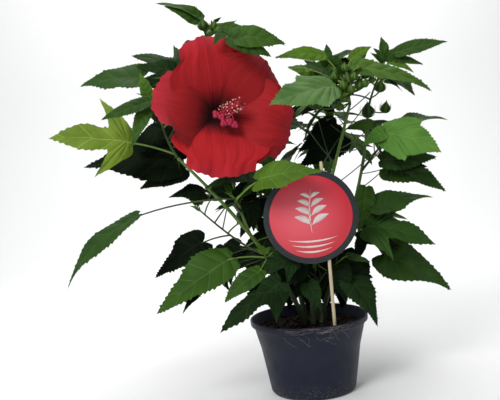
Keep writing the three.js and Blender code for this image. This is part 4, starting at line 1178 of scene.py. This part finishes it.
def add_bud(bm, bracts, root, centre, size, s, seed):
    """A pointed bud in its ribbed calyx, upright on its stalk, with thin curved bracts under it."""
    run = (0.3 * (centre - root).normalized() + Vector((0, -0.1, 1))).normalized()
    side, up = frame_of(run, LIMB_HINT)
    radius = s.radius / MM * size
    base = centre - run * radius * 1.05

    def place(u, v):
        wide = BUD_OUTLINE[round(v * BUD_ROWS)] * radius * 0.98
        angle = 2 * math.pi * u
        wide *= 1 + 0.16 * math.cos(5 * angle) * math.sin(math.pi * v)
        at = base + run * radius * 2.9 * v
        return at + side * (wide * math.cos(angle)) + up * (wide * math.sin(angle))

    # The smaller the bud, the younger it is and the yellower its skin.
    made = add_sheet(bm, 20, BUD_ROWS, place, min(0.6, max(0, 1.2 * (1.15 - size))))
    bmesh.ops.remove_doubles(bm, verts=made, dist=MERGE)
    bend = root.lerp(base, 0.6) - Vector((0, 0, 0.12 * (base - root).length))
    add_tube(bracts, [root, bend, base + run], lambda share: 1.2, 6, 6, steady(seed))
    for k in range(s.bracts):
        angle = 2 * math.pi * k / s.bracts + seed
        outward = turned(side, up, angle)
        foot = base + outward * 1.5
        bend = base + outward * radius * 1.6 + run * radius * 0.3
        tip = base + outward * radius * (1.0 + 0.3 * steady(seed + k))
        tip += run * radius * (1.8 + 0.8 * steady(seed - k))
        add_tube(bracts, [foot, bend, tip], lambda share: 0.95 * (1.05 - share), 4, 6, steady(seed + k))


class HIBISCUS_OT_buds(bpy.types.Operator):
    """Adds the flower buds of every mass."""

    bl_idname = "hibiscus.add_buds"
    bl_label = "Add buds"

    def execute(self, context):
        s = context.scene.hibiscus_buds
        buds, bracts = new_shape(), new_shape()
        for number, mass in enumerate(MASSES.values()):
            for k, (share, centre, size) in enumerate(mass.get("buds", ())):
                root = point_on(twig_of(mass), share)
                add_bud(buds, bracts, root, Vector(centre), size, s, number + 1.7 * k)
        nodes = sorted(name for name, mass in MASSES.items() if "buds" in mass)
        finish_piece("flower_buds", buds, bud_material(tuple(s.colour), tuple(s.young_colour)), nodes)
        bract = plain_material("bract_skin", rgb("#3F5F1E"), 0.5)
        finish_piece("bud_bracts", bracts, bract, nodes)
        return {"FINISHED"}


# ---------------------------------------------------------------- bloom
ANTHER_RADIUS = 1.25
STIGMA_RADIUS = 3.9  # of each of a stigma's three lobes
BLOOM_AXIS = Vector((0.34, -0.93, 0.06)).normalized()
BLOOM_FOOT = Vector((-122, -58, 447))
BLOOM_SIDE, BLOOM_UP = frame_of(BLOOM_AXIS, Vector((0, 0, 1)))


def bloom_point(right, up, out):
    """A place on the bloom, from the foot of its petals, as it is seen from the front."""
    return BLOOM_FOOT + BLOOM_SIDE * right + BLOOM_UP * up + BLOOM_AXIS * out


def add_petal(bm, petal, number, s):
    """One petal: a pleated fan that leaves the throat, rises as a funnel and flares to a ruffled rim."""
    heading, reach, breadth, lean, curl, tone = petal
    angle = math.radians(heading)
    half = s.breadth / MM / 2

    def place(u, v):
        across = 1 - 2 * u
        scallop = 0.01 * v * math.sin(11 * across + number)
        scallop += 0.009 * v**5 * math.sin(27 * across + 2.3 * number)
        share = v * (1 - 0.16 * across * across) * (1 + scallop)
        out = (4 + (s.reach / MM - 4) * share**0.9) * reach
        wide = half * math.sin(min(1, 0.1 + v * 1.12) * 2.35 + 0.02) * across * breadth
        # A funnel that flares and leans, one curled edge, pleats, and the ruffle of the rim.
        rise = 44 * math.sin(share * 2.3) - 6 * share + 7 * across * share + lean * share * share
        rise += curl * max(0, across) ** 2 * share
        rise += 0.9 * math.sin(21 * across + number) * share * (1 - 0.4 * share)
        rise += s.ruffle / MM * math.sin(6.5 * across + 1.9 * number) * share**4
        right = out * math.cos(angle) - wide * math.sin(angle)
        up = out * math.sin(angle) + wide * math.cos(angle)
        return bloom_point(right, up, rise)

    # The petal's painted light and shade goes into the shade attribute.
    add_sheet(bm, 56, 44, place, tone)


class HIBISCUS_OT_bloom(bpy.types.Operator):
    """Adds the bloom: petals, column with its anthers and stigmas, calyx and stalk."""

    bl_idname = "hibiscus.add_bloom"
    bl_label = "Add bloom"

    def execute(self, context):
        s = context.scene.hibiscus_bloom
        bm = new_shape()
        for number, petal in enumerate(PETALS.values()):
            add_petal(bm, petal, number, s)
        petals = petal_material(tuple(s.red), tuple(s.throat))
        finish_piece("bloom_petals", bm, petals, ["bloom"])

        column = [bloom_point(0, 0, -2), bloom_point(5, 1, 26), bloom_point(21, 10, 54)]
        bm = new_shape()
        add_tube(bm, column, lambda share: 3.6 + 3 * min(1, max(0, 6 * share - 1.8)) - 2.6 * share**3, 16, 24)
        anthers = new_shape()
        for k in range(s.anthers):
            share = 0.36 + 0.62 * k / s.anthers
            angle = math.radians(TURN * k)
            run = run_of(column, share)
            side, up = frame_of(run, LIMB_HINT)
            outward = turned(side, up, angle)
            foot = point_on(column, share)
            tip = foot + outward * (9.5 + 2.8 * steady(k) - 2.5 * share) + run * (1 + 3 * steady(k + 2))
            add_tube(bm, [foot, foot.lerp(tip, 0.5) + run, tip], lambda share: 0.45, 4, 3)
            place = Matrix.Translation(tip * MM)
            size = ANTHER_RADIUS * MM
            ball = bmesh.ops.create_icosphere(anthers, subdivisions=1, radius=size, matrix=place)
            for vert in ball["verts"]:
                vert[anthers.verts.layers.float["shade"]] = 1 if k % 5 < 2 else 0.15 * steady(k)
        rose = plain_material("column_tissue", rgb("#A82634"), 0.5)
        finish_piece("bloom_column", bm, rose, ["bloom"])
        finish_piece("bloom_anthers", anthers, anther_material(), ["bloom"])

        stigmas = new_shape()
        tip = point_on(column, 0.68)
        for k in range(5):
            away = turned(BLOOM_SIDE, BLOOM_UP, math.radians(198 + 20 * k))
            end = tip + away * (25 - 5 * (k % 2)) + BLOOM_AXIS * 3
            add_tube(stigmas, [tip, tip + away * 12 + BLOOM_AXIS * 4, end], lambda share: 0.9, 6, 8)
            for lobe in range(3):
                turn = math.radians(120 * lobe + 50 * k)
                middle = end + BLOOM_SIDE * 2.4 * math.cos(turn) + BLOOM_UP * 2.4 * math.sin(turn)
                place = Matrix.Translation(middle * MM)
                bmesh.ops.create_icosphere(stigmas, subdivisions=2, radius=STIGMA_RADIUS * MM, matrix=place)
        pink = plain_material("stigma_tissue", rgb("#B52446"), 0.6)
        finish_piece("bloom_stigmas", stigmas, pink, ["bloom"])

        # The calyx: five sepals, a ring of thin bracts and the stalk.
        green = new_shape()
        for k in range(5):
            angle = 2 * math.pi * k / 5 + 0.3

            def sepal(u, v):
                across = (1 - 2 * u) * 0.62 * (1 - v * v * 0.9)
                far = mix(5.5, 17 - 3 * v, min(1, 1.6 * v)) * (1 - 0.1 * across * across)
                turn = angle + across
                return bloom_point(far * math.cos(turn), far * math.sin(turn), mix(-12, 1, v))

            add_sheet(green, 8, 8, sepal, steady(k))
        cup = [bloom_point(0, 0, -13), bloom_point(0, 0, -4)]
        add_tube(green, cup, lambda share: mix(4, 7, share), 16, 4)
        for k in range(10):
            outward = turned(BLOOM_SIDE, BLOOM_UP, 2 * math.pi * k / 10)
            base = bloom_point(0, 0, -12)
            bend, tip = base + outward * 14 - BLOOM_AXIS * 3, base + outward * 20 + BLOOM_AXIS * 8
            add_tube(green, [base + outward * 3, bend, tip], lambda share: 1.05 - share, 4, 6)
        root = point_on(LIMBS["branch_bloom"], 0.62)
        stalk = [root, bloom_point(0, -6, -45), bloom_point(0, 0, -8)]
        add_tube(green, stalk, lambda share: mix(2.2, 3, share), 10, 16)
        calyx = plain_material("calyx_skin", rgb("#4E7A30"), 0.5)
        finish_piece("bloom_calyx", green, calyx, ["bloom"])
        return {"FINISHED"}


# ---------------------------------------------------------------- label
# How far out from the middle of the card its red field starts and ends, and its print ends.
FIELD_LOW, FIELD_HIGH, PRINT_HIGH = 0.2, 0.75, 0.95
STICK = [Vector((34, -70, SOIL_TOP - 8)), Vector((29, -88, 366))]
LABEL_RUN = (STICK[1] - STICK[0]).normalized()
LABEL_SIDE, LABEL_FRONT = frame_of(LABEL_RUN, Vector((0, -1, 0)))
LABEL_CENTRE = STICK[1] - LABEL_RUN * 81 + Vector((-22, 0, 0))
LABEL_CENTRE += LABEL_FRONT * (STICK_RADIUS + CLEARANCE + CARD)


def label_point(right, up, out):
    """A place on the label, from its centre, out from the middle of its card."""
    return LABEL_CENTRE - LABEL_SIDE * right + LABEL_RUN * up + LABEL_FRONT * out


def label_matrix(out):
    """Turns a disc that lies flat into the label's plane, its face at out."""
    turn = Matrix((-LABEL_SIDE, LABEL_RUN, LABEL_FRONT)).transposed().to_4x4()
    return Matrix.Translation(label_point(0, 0, out) * MM) @ turn


def add_plate(bm, radius, low, high):
    """A round plate with softened edges, between two levels of the label."""
    size, place = radius * MM, label_matrix((low + high) / 2)
    made = bmesh.ops.create_cone(
        bm, cap_ends=True, segments=128, radius1=size, radius2=size, depth=(high - low) * MM, matrix=place
    )["verts"]
    rims = {edge for vert in made for edge in vert.link_edges if len(edge.link_faces) == 2}
    rims = [edge for edge in rims if edge.calc_face_angle(0) > 1]
    width = 0.3 * (high - low) * MM
    round_off(bm, rims, width, 2)


def add_mark(bm, start, end, bulge, width):
    """A curved stroke of the label's motif, thickest in its middle, still without depth."""
    a, b = Vector(start), Vector(end)
    across = Vector((a.y - b.y, b.x - a.x)).normalized()

    def place(u, v):
        bow, half = bulge * 4 * v * (1 - v), width * math.sin(math.pi * v)
        flat = a.lerp(b, v) + across * (bow + half * (1 - 2 * u))
        return label_point(flat.x, flat.y, PRINT_HIGH)

    add_sheet(bm, 2, 16, place)


class HIBISCUS_OT_label(bpy.types.Operator):
    """Adds the round label with its raised dots and plain motif, and its stick."""

    bl_idname = "hibiscus.add_label"
    bl_label = "Add label"

    def execute(self, context):
        s = context.scene.hibiscus_label
        radius = s.radius / MM
        bm = new_shape()
        add_plate(bm, radius, -CARD, CARD)
        flat = Matrix.Diagonal((1, 1, 0.45, 1))
        for k in range(s.dots):
            angle = 2 * math.pi * k / s.dots
            far = radius - s.border / MM / 2
            spot = Vector((far * math.cos(angle), far * math.sin(angle), 0)) * MM
            place = label_matrix(CARD) @ Matrix.Translation(spot) @ flat
            bmesh.ops.create_uvsphere(bm, u_segments=10, v_segments=6, radius=1.35 * MM, matrix=place)
        border = plain_material("laminated_card_border", tuple(s.border_colour), 0.42, 12, 0.1)
        finish_piece("label_border", bm, border, ["label_disc"])

        bm = new_shape()
        add_plate(bm, radius - s.border / MM, FIELD_LOW, FIELD_HIGH)
        card = field_material(tuple(s.red), tuple(s.pink), label_point(-14, 4, 0.8))
        finish_piece("label_field", bm, card, ["label_disc"])

        # The motif: a sprig of paired leaves, each pair with its height and length, over three furrows.
        bm = new_shape()
        add_mark(bm, (0, -26), (3, 42), 3, 1.1)
        for high, long in ((-12, 26), (2, 24), (15, 20), (27, 15)):
            for way in (-1, 1):
                add_mark(bm, (1, high), (way * long + 1, high + long * 0.55), way * 3, long * 0.19)
        for k in range(3):
            add_mark(bm, (-38 + 5 * k, -32 - 8 * k), (38 - 5 * k, -32 - 8 * k), -5, 1.5)
        bmesh.ops.recalc_face_normals(bm, faces=bm.faces)
        bmesh.ops.solidify(bm, geom=list(bm.faces), thickness=0.15 * MM)
        cream = plain_material("laminated_card_print", rgb("#F3DEDA"), 0.4, 12, 0.05)
        finish_piece("label_print", bm, cream, ["label_disc"])

        bm = new_shape()
        add_tube(bm, STICK, lambda share: STICK_RADIUS * min(1, 0.72 + (1 - share) * 30), 14, 60)
        for vert in bm.verts:
            vert.co.z = max(vert.co.z, (SOIL_TOP - 3) * MM)
        birch = wood_material(rgb("#CDBF9C"))
        finish_piece("label_stick_wood", bm, birch, ["label_stick"])
        return {"FINISHED"}


# ---------------------------------------------------------------- stage
class HIBISCUS_OT_stage(bpy.types.Operator):
    """Adds the floor, the soft lights and the camera."""

    bl_idname = "hibiscus.add_stage"
    bl_label = "Add stage"

    def execute(self, context):
        s = context.scene.hibiscus_stage
        bm = bmesh.new()
        bmesh.ops.create_grid(bm, x_segments=1, y_segments=1, size=4)
        bmesh.ops.translate(bm, verts=bm.verts, vec=(0, -1.6, 0))
        back = [edge for edge in bm.edges if all(vert.co.y > 0 for vert in edge.verts)]
        wall = bmesh.ops.extrude_edge_only(bm, edges=back)["geom"]
        bmesh.ops.translate(bm, verts=[v for v in wall if isinstance(v, bmesh.types.BMVert)], vec=(0, 0, 3))
        round_off(bm, back, 0.8, 12)
        for face in bm.faces:
            face.smooth = True
        mesh = bpy.data.meshes.new("backdrop")
        bm.to_mesh(mesh)
        bm.free()
        backdrop = bpy.data.objects.new("backdrop", mesh)
        context.collection.objects.link(backdrop)
        mesh.materials.append(start_material("backdrop_paper", Base_Color=rgb("#F4F4F3"), Roughness=0.9)[0])

        world = bpy.data.worlds.new("studio")
        context.scene.world = world
        context.scene.view_settings.view_transform = "Standard"
        world.use_nodes = True
        sky = world.node_tree.nodes["Background"].inputs
        sky["Color"].default_value = rgb("#F6F8FC")
        sky["Strength"].default_value = 0.36
        lights = (  # each with its place, what it points at, its size in metres and its power in watts
            ("key", (-0.9, -1.5, 1.5), (-0.03, 0, 0.33), 0.8, 30),
            ("top", (0.1, 0.0, 2.2), (0, 0, 0.3), 1.0, 10),
            ("wall", (0, 1.3, 2.3), (0, 2.4, 0.6), 2.0, 34),
        )
        for name, place, aim, size, power in lights:
            lamp = bpy.data.lights.new(name, "AREA")
            lamp.size, lamp.energy = size, power
            light = bpy.data.objects.new(name, lamp)
            light.location = place
            light.rotation_euler = (Vector(aim) - Vector(place)).to_track_quat("-Z", "Y").to_euler()
            context.collection.objects.link(light)

        # The camera looks towards the back, tilted down and turned about its line of sight.
        camera = bpy.data.cameras.new("camera")
        camera.lens, camera.sensor_width = s.lens, 36
        eye = bpy.data.objects.new("camera", camera)
        forward = Vector((0, math.cos(s.down), -math.sin(s.down)))
        level, upright = Vector((1, 0, 0)), Vector((0, math.sin(s.down), math.cos(s.down)))
        right = level * math.cos(s.roll) - upright * math.sin(s.roll)
        top = level * math.sin(s.roll) + upright * math.cos(s.roll)
        turn = Matrix((right, top, -forward)).transposed().to_4x4()
        eye.matrix_world = Matrix.Translation((-s.left, -s.distance, s.height)) @ turn
        context.collection.objects.link(eye)
        context.scene.camera = eye
        return {"FINISHED"}


# ---------------------------------------------------------------- add-on
SETTINGS = {
    "hibiscus_pot": PotSettings,
    "hibiscus_stems": StemSettings,
    "hibiscus_leaves": LeafSettings,
    "hibiscus_buds": BudSettings,
    "hibiscus_bloom": BloomSettings,
    "hibiscus_label": LabelSettings,
    "hibiscus_stage": StageSettings,
}
OPERATORS = (
    HIBISCUS_OT_pot,
    HIBISCUS_OT_soil,
    HIBISCUS_OT_stems,
    HIBISCUS_OT_foliage,
    HIBISCUS_OT_buds,
    HIBISCUS_OT_bloom,
    HIBISCUS_OT_label,
    HIBISCUS_OT_stage,
)


class VIEW3D_PT_hibiscus(bpy.types.Panel):
    """Lists the steps that grow the plant, and their settings."""

    bl_label = "Potted Hibiscus"
    bl_space_type = "VIEW_3D"
    bl_region_type = "UI"
    bl_category = "Hibiscus"

    def draw(self, context):
        for operator in OPERATORS:
            self.layout.operator(operator.bl_idname)
        for name, group in SETTINGS.items():
            box = self.layout.box()
            for item in group.__annotations__:
                box.prop(getattr(context.scene, name), item)


def register():
    for group in SETTINGS.values():
        bpy.utils.register_class(group)
    for name, group in SETTINGS.items():
        setattr(bpy.types.Scene, name, bpy.props.PointerProperty(type=group))
    for operator in OPERATORS:
        bpy.utils.register_class(operator)
    bpy.utils.register_class(VIEW3D_PT_hibiscus)


def unregister():
    bpy.utils.unregister_class(VIEW3D_PT_hibiscus)
    for operator in reversed(OPERATORS):
        bpy.utils.unregister_class(operator)
    for name, group in SETTINGS.items():
        delattr(bpy.types.Scene, name)
        bpy.utils.unregister_class(group)


def main():
    register()
    for operator in OPERATORS:
        family, name = operator.bl_idname.split(".")
        getattr(getattr(bpy.ops, family), name)()


if __name__ == "__main__":
    main()
